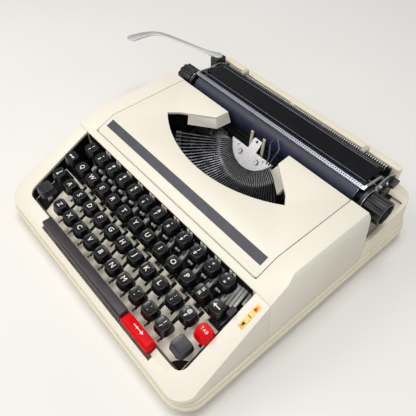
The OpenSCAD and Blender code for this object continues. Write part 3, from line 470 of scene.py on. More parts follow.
def soften(obj, width, segments=2, angle=30):
    """Rounds every edge that is sharper than the angle."""
    activate(obj)
    modifier = obj.modifiers.new("soft_edges", "BEVEL")
    modifier.width = width * MM
    modifier.segments = segments
    modifier.limit_method = "ANGLE"
    modifier.angle_limit = math.radians(angle)
    modifier.harden_normals = False
    bpy.ops.object.modifier_apply(modifier="soft_edges")


print("picking ready")

# %% [markdown]
# ### Repeating and finishing
# What repeats is modelled once, copied to its places, each copy with its own mesh, and joined.

# %% Repeating and finishing
def tilted(place, degrees):
    """A place in mm on a surface that rises towards the rear by an angle."""
    return Matrix.Translation(Vector(place) * MM) @ Matrix.Rotation(math.radians(degrees), 4, "X")


def join(name, pieces):
    deselect()
    for piece in pieces:
        piece.select_set(True)
    bpy.context.view_layer.objects.active = pieces[0]
    if len(pieces) > 1:
        bpy.ops.object.join()
    bpy.context.object.name = name
    return bpy.context.object


def repeat(name, template, places):
    """One object out of copies of a template; a place is a point in mm or a matrix."""
    deselect()
    for place in places:
        where = place if isinstance(place, Matrix) else tilted(place, 0)
        copy = bpy.data.objects.new(name, template.data.copy())
        bpy.context.scene.collection.objects.link(copy)
        copy.data.transform(where)
        copy.select_set(True)
        bpy.context.view_layer.objects.active = copy
    bpy.ops.object.join()
    bpy.context.object.name = name
    return bpy.context.object


def done(obj, material, body, slot, *nodes, angle=35):
    """Gives a finished piece its look and its place in the machine."""
    activate(obj)
    obj.data.materials.clear()
    obj.data.materials.append(material)
    bpy.ops.object.shade_smooth_by_angle(angle=math.radians(angle))
    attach(obj, body)
    if nodes:
        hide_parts(*nodes)
    return obj


def discard(*objects):
    for obj in objects:
        bpy.data.objects.remove(obj)


print("modelling tools ready")

# %% [markdown]
# ## The case mouldings
# A moulded part has no knife edges. Each shell is copied from its solid, its triangles are merged
# back into faces, and its edges are rounded as the mould's were, because a shell modelled anew
# would stray from the openings and seams that the moving pieces need.

# %% A rounded copy of a solid
same_point_m, same_face_degrees = 0.00002, 0.4


def moulded(name, width, segments):
    """A copy of a CAD solid with merged faces and rounded edges."""
    copy = bpy.data.objects.new(name + "_moulded", node[name].data.copy())
    bpy.context.scene.collection.objects.link(copy)
    activate(copy)
    if copy.data.has_custom_normals:
        bpy.ops.mesh.customdata_custom_splitnormals_clear()
    bpy.ops.object.mode_set(mode="EDIT")
    bpy.ops.mesh.select_all(action="SELECT")
    bpy.ops.mesh.remove_doubles(threshold=same_point_m)
    bpy.ops.mesh.dissolve_limited(angle_limit=math.radians(same_face_degrees))
    bpy.ops.object.mode_set(mode="OBJECT")
    soften(copy, width, segments)
    return copy


print("moulded copies ready")

# %% [markdown]
# The cover's edges are rounded less than the case's, and it is drawn 0.2 mm narrower at each
# side, because it turns past the housing's front corners when it opens.

# %% Round the edges of the shells
for name, width, segments, look, body, slot in (
        ("base_shell", 0.9, 2, tray_abs, "base", "cream_case"),
        ("keyboard_surround", 1.1, 3, cream_abs, "base", "cream_plastic"),
        ("main_housing", 0.8, 2, cream_abs, "base", "cream_plastic"),
        ("ribbon_cover", 0.4, 2, cream_abs, "cover", "cream_plastic"),
        ("label_strip", 0.15, 1, strip_plastic, "cover", "strip_grey"),
        ("platen_knobs", 0.35, 2, knob_abs, "platen", "knob_black"),
        ("return_lever", 0.5, 2, lever_chrome, "return_lever", "chrome"),
        ("paper_table", 0.3, 2, table_enamel, "carriage", "table_black")):
    shell = done(moulded(name, width, segments), look, body, slot, name)
    print(shell.name, "faces:", len(shell.data.polygons))

cover_shell = bpy.data.objects["ribbon_cover_moulded"]
cover_share = 0.9983
cover_shell.data.transform(Matrix.Scale(cover_share, 4, (1, 0, 0)))

# %% [markdown]
# ## Key caps
# Each cap starts as a box. Its front corners are rounder than its rear ones, its sides draw in
# towards the top, and the top is dished for the finger inside a narrow rim. The dish is made by
# extruding the top face down in rings that shrink, which keeps the mesh light for 50 caps.

# %% One key cap
rim_width, rim_round = 0.6, 0.4
dish_rings = ((0.3, 0.93), (0.35, 0.82), (0.25, 0.72), (0.1, 0.6))


def cap_rim(edge):
    """True for a sharp edge round the top of a cap."""
    return (min(v.co.z for v in edge.verts) > -1e-6 and len(edge.link_faces) == 2
            and edge.calc_face_angle(0) > math.radians(20)
            and min(f.normal.z for f in edge.link_faces) < 0.7)


def key_cap(name, width, depth, height, front_round, rear_round, top_scale, dish):
    cap = box(name, (-width / 2, -depth / 2, -height), (width / 2, depth / 2, 0))
    pick(cap, "EDGE", lambda e: upright(e, True))
    bpy.ops.mesh.bevel(offset=front_round * MM, segments=5, affect="EDGES")
    rear = (depth / 2 - 0.01) * MM
    pick(cap, "EDGE", lambda e: upright(e, False) and e.verts[0].co.y > rear)
    bpy.ops.mesh.bevel(offset=rear_round * MM, segments=4, affect="EDGES")
    pick(cap, "FACE", at_top)
    bpy.ops.transform.resize(value=(top_scale, top_scale, 1), center_override=(0, 0, 0))
    bpy.ops.mesh.inset(thickness=rim_width * MM)
    for share, shrink in dish_rings:
        bpy.ops.mesh.extrude_region_move(
            TRANSFORM_OT_translate={"value": (0, 0, -dish * share * MM)})
        bpy.ops.transform.resize(value=(shrink, shrink, 1), center_override=(0, 0, 0))
    pick(cap, "EDGE", cap_rim)
    bpy.ops.mesh.bevel(offset=rim_round * MM, segments=3, affect="EDGES")
    bpy.ops.object.mode_set(mode="OBJECT")
    return cap


cap_template = key_cap("cap", width=16.8, depth=15.4, height=8.6, front_round=6, rear_round=4.4,
                       top_scale=0.78, dish=0.5)
square_template = key_cap("square_cap", width=17, depth=16.5, height=8, front_round=3.6,
                          rear_round=3.2, top_scale=0.86, dish=0.35)
print("key cap faces:", len(cap_template.data.polygons))

# %% [markdown]
# The keys stand 19.05 mm apart in each row, so a row's box gives all their places: the first
# one's middle lies half a cap in from the box's left side.

# %% Rows of caps
key_pitch = 19.05
half_cap = 7.6


def places_in(name, count):
    """Places of the caps of a row, from the box of its CAD solid."""
    low, high = box_in_mm(name)
    return [(low[0] + half_cap + i * key_pitch, (low[1] + high[1]) / 2, high[2])
            for i in range(count)]


row_counts = {"keytops_row1": 12, "keytops_row2": 11, "keytops_row3": 11, "keytops_row4": 10}
rows = {name: places_in(name, count) for name, count in row_counts.items()}
h_place = rows["keytops_row3"].pop(5)
for name, places in rows.items():
    done(repeat(name.replace("keytops", "keycaps"), cap_template, places), key_abs,
         name.replace("keytops", "key"), "key_black", name)
print("caps in rows:", sum(len(places) for places in rows.values()))

# %% [markdown]
# The H key moves by itself, and so do the function keys. The two shift caps are larger and
# squarer, and sit on one frame.

# %% Caps that move by themselves
def place_of(name):
    low, high = box_in_mm(name)
    return ((low[0] + high[0]) / 2, (low[1] + high[1]) / 2, high[2])


for name, body, look, slot in (
        ("keytop_h", "key_h", key_abs, "key_black"),
        ("shift_lock_top", "shift_lock", key_abs, "key_black"),
        ("margin_key_top", "margin_key", key_abs, "key_black"),
        ("backspace_top", "backspace", key_abs, "key_black"),
        ("red_key_top", "red_key", red_abs, "key_red")):
    done(repeat(name + "_cap", cap_template, [place_of(name)]), look, body, slot, name)

half_shift = 8.5
low, high = box_in_mm("shift_keytops")
shift_places = [(x, (low[1] + high[1]) / 2, high[2])
                for x in (low[0] + half_shift, high[0] - half_shift)]
done(repeat("shift_caps", square_template, shift_places), shift_abs, "shift", "key_black",
     "shift_keytops")
discard(cap_template, square_template)
print("shift caps at x:", [round(place[0], 1) for place in shift_places])

# %% [markdown]
# ### Legends
# The letters are moulded into the caps in white plastic, about 5 mm tall, or 3 mm where a key
# carries two signs. They are set as text, turned into mesh and laid into the dish.

# %% Letters
size_for_height, letter_depth, legend_sink = 1.42, 0.14, 0.36


def sign(text, place, height, weight=0.07):
    """A character whose middle is at a place, of a height in mm."""
    deselect()
    bpy.ops.object.text_add()
    letter = bpy.context.object
    letter.data.body = text
    letter.data.size = height * size_for_height * MM
    letter.data.extrude = letter_depth * MM
    letter.data.offset = weight * MM
    letter.data.resolution_u = 3
    bpy.ops.object.convert(target="MESH")
    corners = [Vector(c) for c in letter.bound_box]
    middle = (corners[0] + corners[6]) / 2
    letter.data.transform(Matrix.Translation(Vector(place) * MM - middle))
    return letter


def legend(text, place):
    """One or two signs on a cap: the second is the shifted one and stands at the rear."""
    x, y, z = place
    if len(text) == 1:
        return [sign(text, (x, y - 0.2, z - legend_sink), 4.9)]
    return [sign(text[0], (x, y - 2.5, z - legend_sink + 0.1), 3.1, 0.1),
            sign(text[1], (x, y + 2.2, z - legend_sink + 0.1), 3.1, 0.1)]


def legends(name, texts, places, body):
    letters = []
    for text, place in zip(texts, places):
        letters += legend(text, place)
    return done(join(name, letters), white_paint, body, "scale_black")


half, quarter, cent = chr(189), chr(188), chr(162)
legends("legends_row1", ["1!", "2\"", "3#", "4$", "5%", "6_", "7&", "8'", "9(", "0)", "-*", "=+"],
        rows["keytops_row1"], "key_row1")
legends("legends_row2", list("QWERTYUIOP") + [half + quarter], rows["keytops_row2"], "key_row2")
legends("legends_row3", list("ASDFGJKL") + [";:", cent + "@"], rows["keytops_row3"], "key_row3")
legends("legends_row4", list("ZXCVBNM") + [",,", "..", "/?"], rows["keytops_row4"], "key_row4")
legends("legend_h", ["H"], [h_place], "key_h")
print("legends on 44 keys")

# %% [markdown]
# The function keys carry plain signs: an arrow on the backspace, a bar that stands for the
# margin, a lock sign, and TAB on the red key. A stroke is a thin box, an arrow a flat plate.

# %% Signs of the function keys
stroke_floor, stroke_top, crossing_top = -0.42, -0.2, -0.22


def stroke(place, x0, x1, y0, y1, top):
    """A bar of a sign on a cap, between distances from the cap's middle."""
    x, y, z = place
    return box("stroke", (x + x0, y + y0, z + stroke_floor), (x + x1, y + y1, z + top))


arrow = plate("arrow", [(-4.2, 0), (-1.4, -2), (-1.4, -0.5), (4, -0.5), (4, 0.5), (-1.4, 0.5),
                        (-1.4, 2)], -0.4, stroke_top)
done(repeat("backspace_sign", arrow, [place_of("backspace_top")]), white_paint, "backspace",
     "scale_black")
discard(arrow)

cap = place_of("margin_key_top")
strokes = [stroke(cap, -4, 4, -0.5, 0.5, stroke_top)]
strokes += [stroke(cap, s * 2.2 - 0.35, s * 2.2 + 0.35, -1.6, 1.6, crossing_top) for s in (-1, 1)]
done(join("margin_sign", strokes), white_paint, "margin_key", "scale_black")

cap = place_of("shift_lock_top")
strokes = [stroke(cap, -0.5, 0.5, -2.4, 3.4, stroke_top),
           stroke(cap, -1.2, 1.2, -3.4, -1.8, crossing_top)]
done(join("lock_sign", strokes), white_paint, "shift_lock", "scale_black")

x, y, z = place_of("red_key_top")
letters = [sign(c, (x + dx, y + 0.6, z - 0.3), 2.7, 0.04) for c, dx in zip("TAB", (-2.9, 0, 2.9))]
done(join("tab_letters", letters), white_paint, "red_key", "scale_black")
print("function keys signed")

# %% [markdown]
# ### Space bar and tabulator bar
# Both bars are long mouldings whose front edge slopes down to the thumb. Each is a box whose
# front and end edges are bevelled flat, and then softened all over.

# %% The two bars
front_slope = 1.9


def bar(name, node_name, look, body, slot, end_slope):
    """A sloping bar in the box of its solid; returns the box too."""
    low, high = box_in_mm(node_name)
    piece = box(name, low, high)
    pick(piece, "EDGE", lambda e: all(v.co.z > (high[2] - 0.1) * MM and
                                      v.co.y < (low[1] + 0.1) * MM for v in e.verts))
    bpy.ops.mesh.bevel(offset=front_slope * MM, segments=1, affect="EDGES")
    for side in (low[0], high[0]):
        pick(piece, "EDGE", lambda e: abs(e.verts[0].co.y - e.verts[1].co.y) > 5 * MM and
             all(v.co.z > (high[2] - 3.2) * MM and abs(v.co.x - side * MM) < 0.1 * MM
                 for v in e.verts))
        bpy.ops.mesh.bevel(offset=end_slope * MM, segments=1, affect="EDGES")
    bpy.ops.object.mode_set(mode="OBJECT")
    soften(piece, 0.45, 2, 20)
    return done(piece, look, body, slot, node_name), low, high


space_bar = bar("space_bar", "space_bar_top", bar_abs, "space_bar", "bar_brown", 1.2)[0]
tab_bar, low, high = bar("tab_bar", "tab_bar_top", red_abs, "tab_bar", "key_red", 2.2)
print("bars:", space_bar.name, tab_bar.name)

# %% [markdown]
# The tabulator bar carries a white arrow with two heads, one behind the other.

# %% Arrow of the tabulator bar
print_low, print_high = -0.05, 0.08
middle = ((low[0] + high[0]) / 2, (low[1] + high[1]) / 2 + 1.2, high[2])
tail = plate("tail", [(-6.5, -0.35), (-2.6, -0.35), (-2.1, -1.3), (-0.9, 0), (-2.1, 1.3),
                      (-2.6, 0.35), (-6.5, 0.35)], print_low, print_high)
head = plate("head", [(-0.9, -0.35), (3.6, -0.35), (3.6, -1.8), (6.6, 0), (3.6, 1.8),
                      (3.6, 0.35), (-0.9, 0.35)], print_low, print_high)
parts = [repeat("tail_print", tail, [middle]), repeat("head_print", head, [middle])]
done(join("tab_arrow", parts), white_paint, "tab_bar", "scale_black")
discard(tail, head)
print("arrow on the tabulator bar")

# %% [markdown]
# ## The comb under the lower rows
# The cream comb rises to the rear by 24 degrees. A lip lengthens it at the rear, black strips of
# painted shade stand for the slots where the keys' stems go down, and raised tabs, ribs and small
# pockets of painted shade lie between the slots. They are laid on the comb's face as thin boxes,
# because the slots are too small to see into.

# %% On the comb's face
comb_tilt, comb_front_y, comb_front_z = 24.04, -134, 25.0
sunk = -0.05


def comb_top(y):
    """Height of the comb's sloping face."""
    return comb_front_z + (y - comb_front_y) * math.tan(math.radians(comb_tilt))


def on_comb(x, y):
    """A place on the comb's face."""
    return tilted((x, y, comb_top(y)), comb_tilt)


home_row = sorted(rows["keytops_row3"] + [h_place])
lower_row = rows["keytops_row4"]
print("comb rises to", round(comb_top(-93), 1), "mm")

# %% [markdown]
# A black slot of painted shade lies behind each key of the home row and of the lower row. Tabs
# stand beside the slots and in front of the lower row, and two ribs between its keys.

# %% Lip, slots and tabs
lip = box("lip", (-4.3, -1.4, -1.3), (8.5, 1.7, 0))
done(repeat("comb_lip", lip, [on_comb(x + 1.2, -90.6) for x, _, _ in home_row]), comb_abs_painted_light,
     "base", "mask_cream")
# black slots of painted shade, laid on the comb's face
rear_slot = box("rear_slot", (-1.7, -6, sunk), (1.7, 6.2, 0.3))
front_slot = box("front_slot", (-1.7, -7.5, sunk), (1.7, 7.5, 0.3))
slots = [repeat("rear", rear_slot, [on_comb(x + 1.8, -95.4) for x, _, _ in home_row]),
         repeat("front", front_slot, [on_comb(x - 2.0, -108.0) for x, _, _ in lower_row])]
done(join("comb_slot_shade", slots), black_arm_and_shade, "base", "mask_cream")
tab = box("tab", (-2.3, -2.3, -0.3), (2.3, 2.3, 0.5))
soften(tab, 0.25)
tab_places = [on_comb(x + 7.2, -92.0) for x, _, _ in home_row]
tab_places += [on_comb(x - 5.5, -131.2) for x, _, _ in lower_row]
rib = box("rib", (-3.2, -0.9, -0.3), (3.2, 0.9, 0.45))
soften(rib, 0.3)
rib_places = [on_comb(x + dx, y) for x, _, _ in lower_row for dx, y in ((5.6, -110), (5.2, -115.5))]
done(join("comb_tabs", [repeat("tabs", tab, tab_places), repeat("ribs", rib, rib_places)]),
     tab_abs_painted_light, "base", "mask_cream")
discard(lip, rear_slot, front_slot, tab, rib)
print("comb:", len(tab_places), "tabs,", len(rib_places), "ribs")

# %% [markdown]
# Small pockets are tan, painted shade. Black plates of painted shade close the gaps at the comb's
# ends, and an apron in the tan of painted shade closes the one in front of it.

# %% Pockets and ends of the comb
# tan patches of painted shade where the pockets lie
pocket = box("pocket", (-1.2, -1.5, sunk), (1.2, 1.5, 0.12))
pockets = [on_comb(x - 1.5, -90.6) for x, _, _ in home_row]
pockets += [on_comb(x + dx, y) for x, _, _ in lower_row
            for dx, y in ((-7.2, -122.6), (-7.0, -119.8), (-0.4, -131.0))]
done(repeat("comb_pocket_shade", pocket, pockets), shade_abs, "base", "mask_cream")
discard(pocket)
# black plates of painted shade over the comb's ends
ends = [plate("end", [(-126, -134), (-104.5, -134), (-107, -122), (-109, -93), (-126, -93)],
              0, 0.25),
        plate("corner", [(112, -134), (123, -134), (123, -123.5), (119, -126), (114.5, -130)],
              0, 0.25)]
for end in ends:
    for vertex in end.data.vertices:
        vertex.co.z += comb_top(vertex.co.y / MM) * MM
done(join("comb_end_shade_plates", ends), black_arm_and_shade, "base", "mask_cream")
# the apron in the tan of painted shade
apron = [box("apron", (x0, -137.6, 23.4), (x1, -133.6, 24.9))
         for x0, x1 in ((-126, -83), (58, 123))]
done(join("comb_apron", apron), shade_abs, "base", "mask_cream")
print("pockets:", len(pockets))

# %% [markdown]
# ### Lip of the keyboard's opening
# At the right front corner the opening ends in a straight lip. It is a plate whose top is laid
# on the slope of the surround.

# %% Lip of the keyboard's opening
surround_tilt, surround_edge_y, surround_edge_z = 26.2, -72.5, 68.36


def surround_top(y):
    """Height of the keyboard surround's sloping face."""
    return surround_edge_z + (y - surround_edge_y) * math.tan(math.radians(surround_tilt))


lip_low, lip_high = 22, 30
lip = plate("well_lip", [(98.4, -144.8), (120.8, -144.8), (120.8, -138.2), (98.4, -138.6)],
            lip_low, lip_high)
for vertex in lip.data.vertices:
    if vertex.co.z > (lip_high - 1) * MM:
        vertex.co.z = (surround_top(vertex.co.y / MM) - 0.02) * MM
done(lip, cream_abs, "base", "cream_plastic")
print("lip laid at", round(surround_top(-142), 1), "mm")

# %% [markdown]
# ## Key arms
# Between the caps of the upper rows the arms of the keys show: black ones with a pin and a pair
# of pale bushings, and zinc-plated ones, painted near white as painted light, that rise to the
# rear. Four more levers, painted bright in the same way, pass to the right of the number row.
# They are plain bars, because only their tops are seen.

# %% Arms of the QWERTY row
upper = [(x, 0, 0) for x, _, _ in rows["keytops_row2"]]
pin_y, pin_z = -67.6, 47.9
arm = box("arm", (-1.3, -84, 40.5), (1.3, -60, 46.5))
done(repeat("key_arms_row2", arm, upper), black_arm_and_shade, "key_row2", "bare_steel")
bush = rod("bush", (-2.4, pin_y, pin_z), (0.4, pin_y, pin_z), 1.7, 20)
soften(bush, 0.35)
thin_bush = rod("thin_bush", (1.5, pin_y, pin_z), (3.0, pin_y, pin_z), 1.6, 20)
soften(thin_bush, 0.35)
pin = rod("pin", (-2.2, pin_y, pin_z), (2.8, pin_y, pin_z), 0.6, 12)
pale = [repeat("bushes", piece, upper) for piece in (bush, thin_bush, pin)]
done(join("key_bushings_row2", pale), worn_grey, "key_row2", "bare_steel")
discard(arm, bush, thin_bush, pin)
print("arms of the QWERTY row:", len(upper))

# %% [markdown]
# An arm of the number row is folded from sheet: a bright top edge, and a flange beside it.

# %% Arms of the number row and levers at its right
arm_tilt, lever_tilt = 30, 39
steel = join("steel", [box("top_edge", (-0.4, 0, -2.4), (1.5, 23, 0)),
                       box("side_flange", (-3.2, 0, -2.4), (-0.9, 15, -1.2))])
steel.data.transform(tilted((1.5, -75, 47), arm_tilt))
# zinc painted near white: painted light on the arms and on the levers beside them
done(repeat("key_arms_row1", steel, [(x, 0, 0) for x, _, _ in rows["keytops_row1"]]), zinc_painted_light,
     "key_row1", "bare_steel")
lever = box("lever", (-1.3, 0, -2.4), (1.3, 21, 0))
lever_starts = ((109.9, -71.5, 46.2), (113.5, -70.5, 46.6), (117.0, -68.5, 48), (121.0, -62, 49.5))
done(repeat("side_levers", lever, [tilted(start, lever_tilt) for start in lever_starts]),
     zinc_painted_light, "base", "bare_steel")
discard(steel, lever)
print("arms of the number row:", len(rows["keytops_row1"]), "side levers:", len(lever_starts))

# %% [markdown]
# ### Lining of the keyboard's well
# Below the housing's front edge runs a black strip of painted shade with pale posts, and black
# cheeks of painted shade line the well at both sides, so that nothing pale shines through between
# the keys and the case.

# %% Lining of the keyboard's well
# a black strip of painted shade over the housing's front wall
strip = box("seam_shade_strip", (-126, -57.7, 67.5), (126, -56.9, 75))
done(strip, black_arm_and_shade, "base", "cream_plastic")
post = box("post", (-1.6, -58.2, 67.5), (1.6, -57.4, 74.6))
soften(post, 0.2)
post_places = [(x + dx, 0, 0) for x, _, _ in upper for dx in (4.9, 9.2)]
done(repeat("seam_posts", post, post_places), worn_grey, "base", "cream_plastic")
discard(post)
upright_plate = Matrix.Rotation(math.pi / 2, 4, "Z") @ Matrix.Rotation(math.pi / 2, 4, "X")
# black cheeks of painted shade at the well's sides
cheeks = []
for x in (-130.6, 129.7):
    cheek = plate("cheek", [(-133, 18), (-58, 18), (-58, 72), (-133, 35.2)], 0, 0.9)
    cheek.data.transform(Matrix.Translation(Vector((x, 0, 0)) * MM) @ upright_plate)
    cheeks.append(cheek)
done(join("well_shade_cheeks", cheeks), black_arm_and_shade, "base", "frame_paint")
print("posts:", len(post_places), "cheeks:", len(cheeks))

# %% [markdown]
# ## Selector decal
# A gold foil strip beside the keys: a black arrow to the front, a red one to the rear, and two
# pale fields with a line between them. Only plain shapes, no lettering, each a thin plate that
# stands 0.01 mm higher than the one below it.

# %% Marks on the decal
field_top, arrow_top, line_top, mark_low = 0.36, 0.37, 0.38, 0.3
low, high = box_in_mm("selector_decal")
decal = tilted(((low[0] + high[0]) / 2, surround_edge_y, surround_edge_z + 0.01), surround_tilt)


def mark(name, outline, top):
    """A flat mark on the decal."""
    piece = plate(name, outline, mark_low, top)
    piece.data.transform(decal)
    return piece


fields = [mark("field", [(-1.9, y - 2), (1.9, y - 2), (1.9, y + 2), (-1.9, y + 2)], field_top)
          for y in (-2.9, 2.9)]
done(join("decal_fields", fields), pale_foil, "base", "gold_foil")
front = mark("front", [(0, -10.4), (1.7, -6.2), (-1.7, -6.2)], arrow_top)
line = mark("line", [(-1.5, -0.35), (1.5, -0.35), (1.5, 0.35), (-1.5, 0.35)], line_top)
done(join("decal_black", [front, line]), black_ink_and_shade, "base", "gold_foil")
done(mark("decal_red", [(-1.9, 5.8), (1.9, 5.8), (0, 10.6)], arrow_top), red_ink, "base",
     "gold_foil")
print("decal marked")

# %% [markdown]
# ## Carriage
# The bail strip is graduated along its rear edge, ten divisions to the inch, and so is the
# margin rail, which has a row of small teeth below its scale. Each division is one thin box,
# repeated, because the marks have to stay sharp from any distance.

# %% Scale of the paper bail
inch_tenth = 2.54
bail_y, bail_z, bail_tilt = 85.4, 92.95, 13.7
low, high = box_in_mm("paper_bail")
middle = (low[0] + high[0]) / 2
count = int((high[0] - low[0] - 16) / inch_tenth / 2)
tick = box("tick", (-0.5, -0.1, 0), (0.5, 1.7, 0.06))
ticks = [tilted((middle + i * inch_tenth, bail_y, bail_z), bail_tilt)
         for i in range(-count, count + 1)]
done(repeat("bail_scale", tick, ticks), black_ink_and_shade, "bail", "scale_black")
edge = box("edge", (-count * inch_tenth, -1.6, 0), (count * inch_tenth, -1.2, 0.06))
done(repeat("bail_edge_line", edge, [tilted((middle, bail_y, bail_z), bail_tilt)]), black_ink_and_shade,
     "bail", "scale_black")
discard(tick, edge)
print("divisions of the bail:", len(ticks))

# %% [markdown]
# The rail's white lines stand on its front face, its teeth below them, and cuts on its top.

# %% Scale of the margin rail
low, high = box_in_mm("margin_rail")
middle = (low[0] + high[0]) / 2
count = int((high[0] - low[0] - 8) / inch_tenth / 2)
marks = [(middle + i * inch_tenth, low[1], 0) for i in range(-count, count + 1)]
for name, corners, look in (
        ("rail_scale", ((-0.35, -0.03, 84.6), (0.35, 0, 87.4)), white_paint),
        ("rail_teeth", ((-0.7, -1.0, 80.6), (0.7, 0, 83.2)), lever_steel),
        ("rail_top_marks", ((-0.45, 0, 87.98), (0.45, 2.2, 88.02)), white_paint)):
    single = box("single", *corners)
    done(repeat(name, single, marks), look, "carriage", "scale_black")
    discard(single)
print("divisions of the rail:", len(marks))

# %% [markdown]
# ### Rims and lines
# Bright rings of painted highlight mark the lit edges where the end plates are bored for the
# platen, steel discs close the platen's ends, and the paper table has two pale grey lines along
# its edges.

# %% Rims and lines
platen_y, platen_z = 89.3, 76.5


def ring(name, x, radius, thick):
    """A ring about the platen's axis."""
    deselect()
    bpy.ops.mesh.primitive_torus_add(
        major_radius=radius * MM, minor_radius=thick * MM, major_segments=64, minor_segments=10,
        location=Vector((x, platen_y, platen_z)) * MM, rotation=(0, math.pi / 2, 0))
    return named(name)


# rings in bright steel: painted highlight on the lit edges of the bores
rings = [ring("ring", x, 13.6, 0.55) for x in (128.3, -120.3)]
done(join("end_plate_rims", rings), edge_highlight_steel, "carriage", "bare_steel")
line = box("line", (-110, 93.6, 93.18), (118, 94.0, 93.24))
rear_line = rod("rear_line", (-106, 117.2, 93.55), (114, 117.2, 93.55), 0.22, 8)
done(join("table_lines", [line, rear_line]), edge_grey, "carriage", "table_black")
discs = [rod("disc", (s * 114 + 4, platen_y, platen_z), (s * 114.6 + 4, platen_y, platen_z),
             14.6, 48) for s in (-1, 1)]
for disc in discs:
    soften(disc, 0.2)
done(join("platen_end_caps", discs), lever_steel, "platen", "bare_steel")
print("rims, lines and discs")

# %% [markdown]
# ### Wires
# Bent wire follows a curve with straight handles. The curve is given a round section and turned
# into a mesh at once, so that its place is in its points. The card guide rides on the basket.

# %% Card guide
def wire(name, points, radius):
    """Round wire through points in mm, turned into a mesh."""
    deselect()
    curve = bpy.data.curves.new(name, "CURVE")
    curve.dimensions = "3D"
    spline = curve.splines.new("BEZIER")
    spline.bezier_points.add(len(points) - 1)
    for knot, point in zip(spline.bezier_points, points):
        knot.co = Vector(point) * MM
        knot.handle_left_type = knot.handle_right_type = "VECTOR"
    curve.bevel_depth = radius * MM
    curve.bevel_resolution = 3
    curve.resolution_u = 8
    obj = bpy.data.objects.new(name, curve)
    bpy.context.scene.collection.objects.link(obj)
    activate(obj)
    bpy.ops.object.convert(target="MESH")
    return bpy.context.object


guide_points = ((23.5, 62.8, 64.6), (22.0, 66.5, 72), (18.4, 70.6, 82), (17.8, 72.0, 85.6),
                (23.0, 75.2, 93.2), (29.4, 72.2, 84.4), (29.0, 69.6, 79), (26.0, 62.8, 64.6))
done(wire("card_guide_wire", guide_points, 0.85), guide_steel, "basket", "chrome")
print("card guide bent through", len(guide_points), "points")

# %% [markdown]
# ### Small fittings at the carriage's ends
# Riveted pins and a small spring on the end plates, bright bands of painted highlight along their
# leaning edges, and the white pointer behind the rail that shows the carriage's place.

# %% Small fittings at the carriage's ends
pins = [rod("pin", start, end, radius, 20) for start, end, radius in (
    ((126.4, 104.5, 86.2), (129.6, 104.5, 86.2), 1.9),
    ((126.4, 118, 80.5), (129.2, 118, 80.5), 2.2),
    ((-118.6, 104.5, 86.2), (-121.0, 104.5, 86.2), 1.9))]
for pin in pins:
    soften(pin, 0.3)
spring_points = [(128.6, 96 + t * 1.1, 88.2 + 0.9 * math.sin(t * 2.4)) for t in range(9)]
done(join("end_plate_pins", pins + [wire("spring", spring_points, 0.35)]), lever_steel,
     "carriage", "bare_steel")
plate_edge = ((76.5, 80.9), (99.3, 85.5), (112, 89), (121.6, 89), (130.4, 84.4))
# bright bands: painted highlight along the plates' lit edges
edges = [wire("edge", [(x, y, z + 0.35) for y, z in plate_edge], 0.75) for x in (126.5, -118.5)]
done(join("end_plate_edges", edges), edge_highlight_steel, "carriage", "bare_steel")
pointer_front, pointer_round = 133.4, 2.2
pointer = box("pointer", (-15.6, pointer_front, 81.4), (-10.8, 139, 82.9))
pick(pointer, "EDGE", lambda e: upright(e) and e.verts[0].co.y < (pointer_front + 0.6) * MM)
bpy.ops.mesh.bevel(offset=pointer_round * MM, segments=5, affect="EDGES")
bpy.ops.object.mode_set(mode="OBJECT")
done(pointer, white_paint, "base", "cream_plastic")
print("fittings at the carriage's ends")

# %% [markdown]
# ## Type basket
# The plate is held by two slotted screws with round heads; black slits and dark rings round the
# heads stand for the shade in the slots and in their clearance, as painted shade. They are
# modelled flat and turned into the segment's plane together.

# %% Screws of the plate
segment_place = tilted((0, 71.7, 75), 48)
screw_y = -19.4
shade_rings = [rod("shade_ring", (x, screw_y, 0.02), (x, screw_y, 0.3), 3.1, 32) for x in (-12, 12)]
heads = [rod("head", (x, screw_y, 0.3), (x, screw_y, 1.2), 2.2, 32) for x in (-12, 12)]
for head in heads:
    soften(head, 0.35)
slits = [box("slit", (x - 1.9, screw_y - 0.25, 1.0), (x + 1.9, screw_y + 0.25, 1.24))
         for x in (-12, 12)]
for piece in heads + slits + shade_rings:
    piece.data.transform(segment_place)
done(join("plate_screw_heads", heads), plate_steel, "basket", "plate_silver")
done(join("plate_screw_slits", slits), black_ink_and_shade, "basket", "plate_silver")
done(join("plate_shade_rings", shade_rings), type_steel_and_shade, "basket", "plate_silver")
print("screws:", len(heads))

# %% [markdown]
# ## Stage
# A plain pale floor, three soft lamps and a pale world, at a level where cream stays cream.

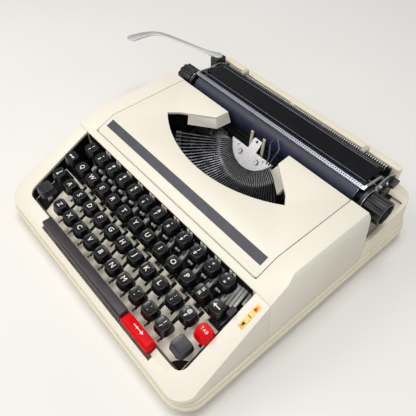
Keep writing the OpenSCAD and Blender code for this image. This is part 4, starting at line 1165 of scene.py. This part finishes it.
# %% Floor and world
floor_half = 3.0
bpy.ops.object.select_all(action="DESELECT")
bpy.ops.mesh.primitive_plane_add(size=2 * floor_half, location=(0, 0, 0))
floor = bpy.context.object
floor.name = "floor"
floor_look, tree, shader, place = start_material("pale_floor")
tree.links.new(ramp(tree, noise(tree, place, 300, 2), [(0.3, "e9e7e3"), (0.7, "e5e3df")]),
               shader.inputs["Base Color"])
shader.inputs["Roughness"].default_value = 0.7
floor.data.materials.append(floor_look)

world = bpy.data.worlds.new("studio")
bpy.context.scene.world = world
world.use_nodes = True
background = world.node_tree.nodes["Background"]
background.inputs["Color"].default_value = linear("f2f3f5")
background.inputs["Strength"].default_value = 0.4
print("floor:", 2 * floor_half, "m wide")

# %% [markdown]
# The main lamp stands at the left front, a weaker one fills from the right, and one hangs above.

# %% Lamps
machine_middle = Vector((0, 0, 0.05))


def soft_lamp(name, place, size, power, colour="ffffff"):
    """A square lamp that is aimed at the machine; sizes in metres, power in watts."""
    lamp = bpy.data.lights.new(name, "AREA")
    lamp.shape = "SQUARE"
    lamp.size = size
    lamp.energy = power
    lamp.color = linear(colour)[:3]
    holder = bpy.data.objects.new(name, lamp)
    bpy.context.scene.collection.objects.link(holder)
    holder.location = place
    holder.rotation_euler = (machine_middle - Vector(place)).to_track_quat("-Z", "Y").to_euler()


soft_lamp("key_lamp", (-0.75, -0.65, 1.2), 0.8, 8.4, "fffbf5")
soft_lamp("fill_lamp", (0.9, -0.9, 1.0), 1.0, 5)
soft_lamp("top_lamp", (0.0, 0.05, 1.6), 0.6, 11)
print("lamps:", len(bpy.data.lights))

# %% [markdown]
# The camera stands where the photographer stood: in front of the right corner, turned 49 degrees
# to the left and looking 50 degrees down.

# %% Camera
looking_down, turned_left = 50.03, 49.45
camera = bpy.data.cameras.new("camera")
camera.sensor_width = 36
camera.lens = 41.12
camera.clip_start = 0.01
camera_holder = bpy.data.objects.new("camera", camera)
bpy.context.scene.collection.objects.link(camera_holder)
camera_holder.location = (0.2517, -0.2128, 0.4140)
camera_holder.rotation_euler = (math.radians(90 - looking_down), 0, math.radians(turned_left))
bpy.context.scene.camera = camera_holder
bpy.context.scene.view_settings.view_transform = "Standard"
print("camera at", tuple(round(v, 3) for v in camera_holder.location))
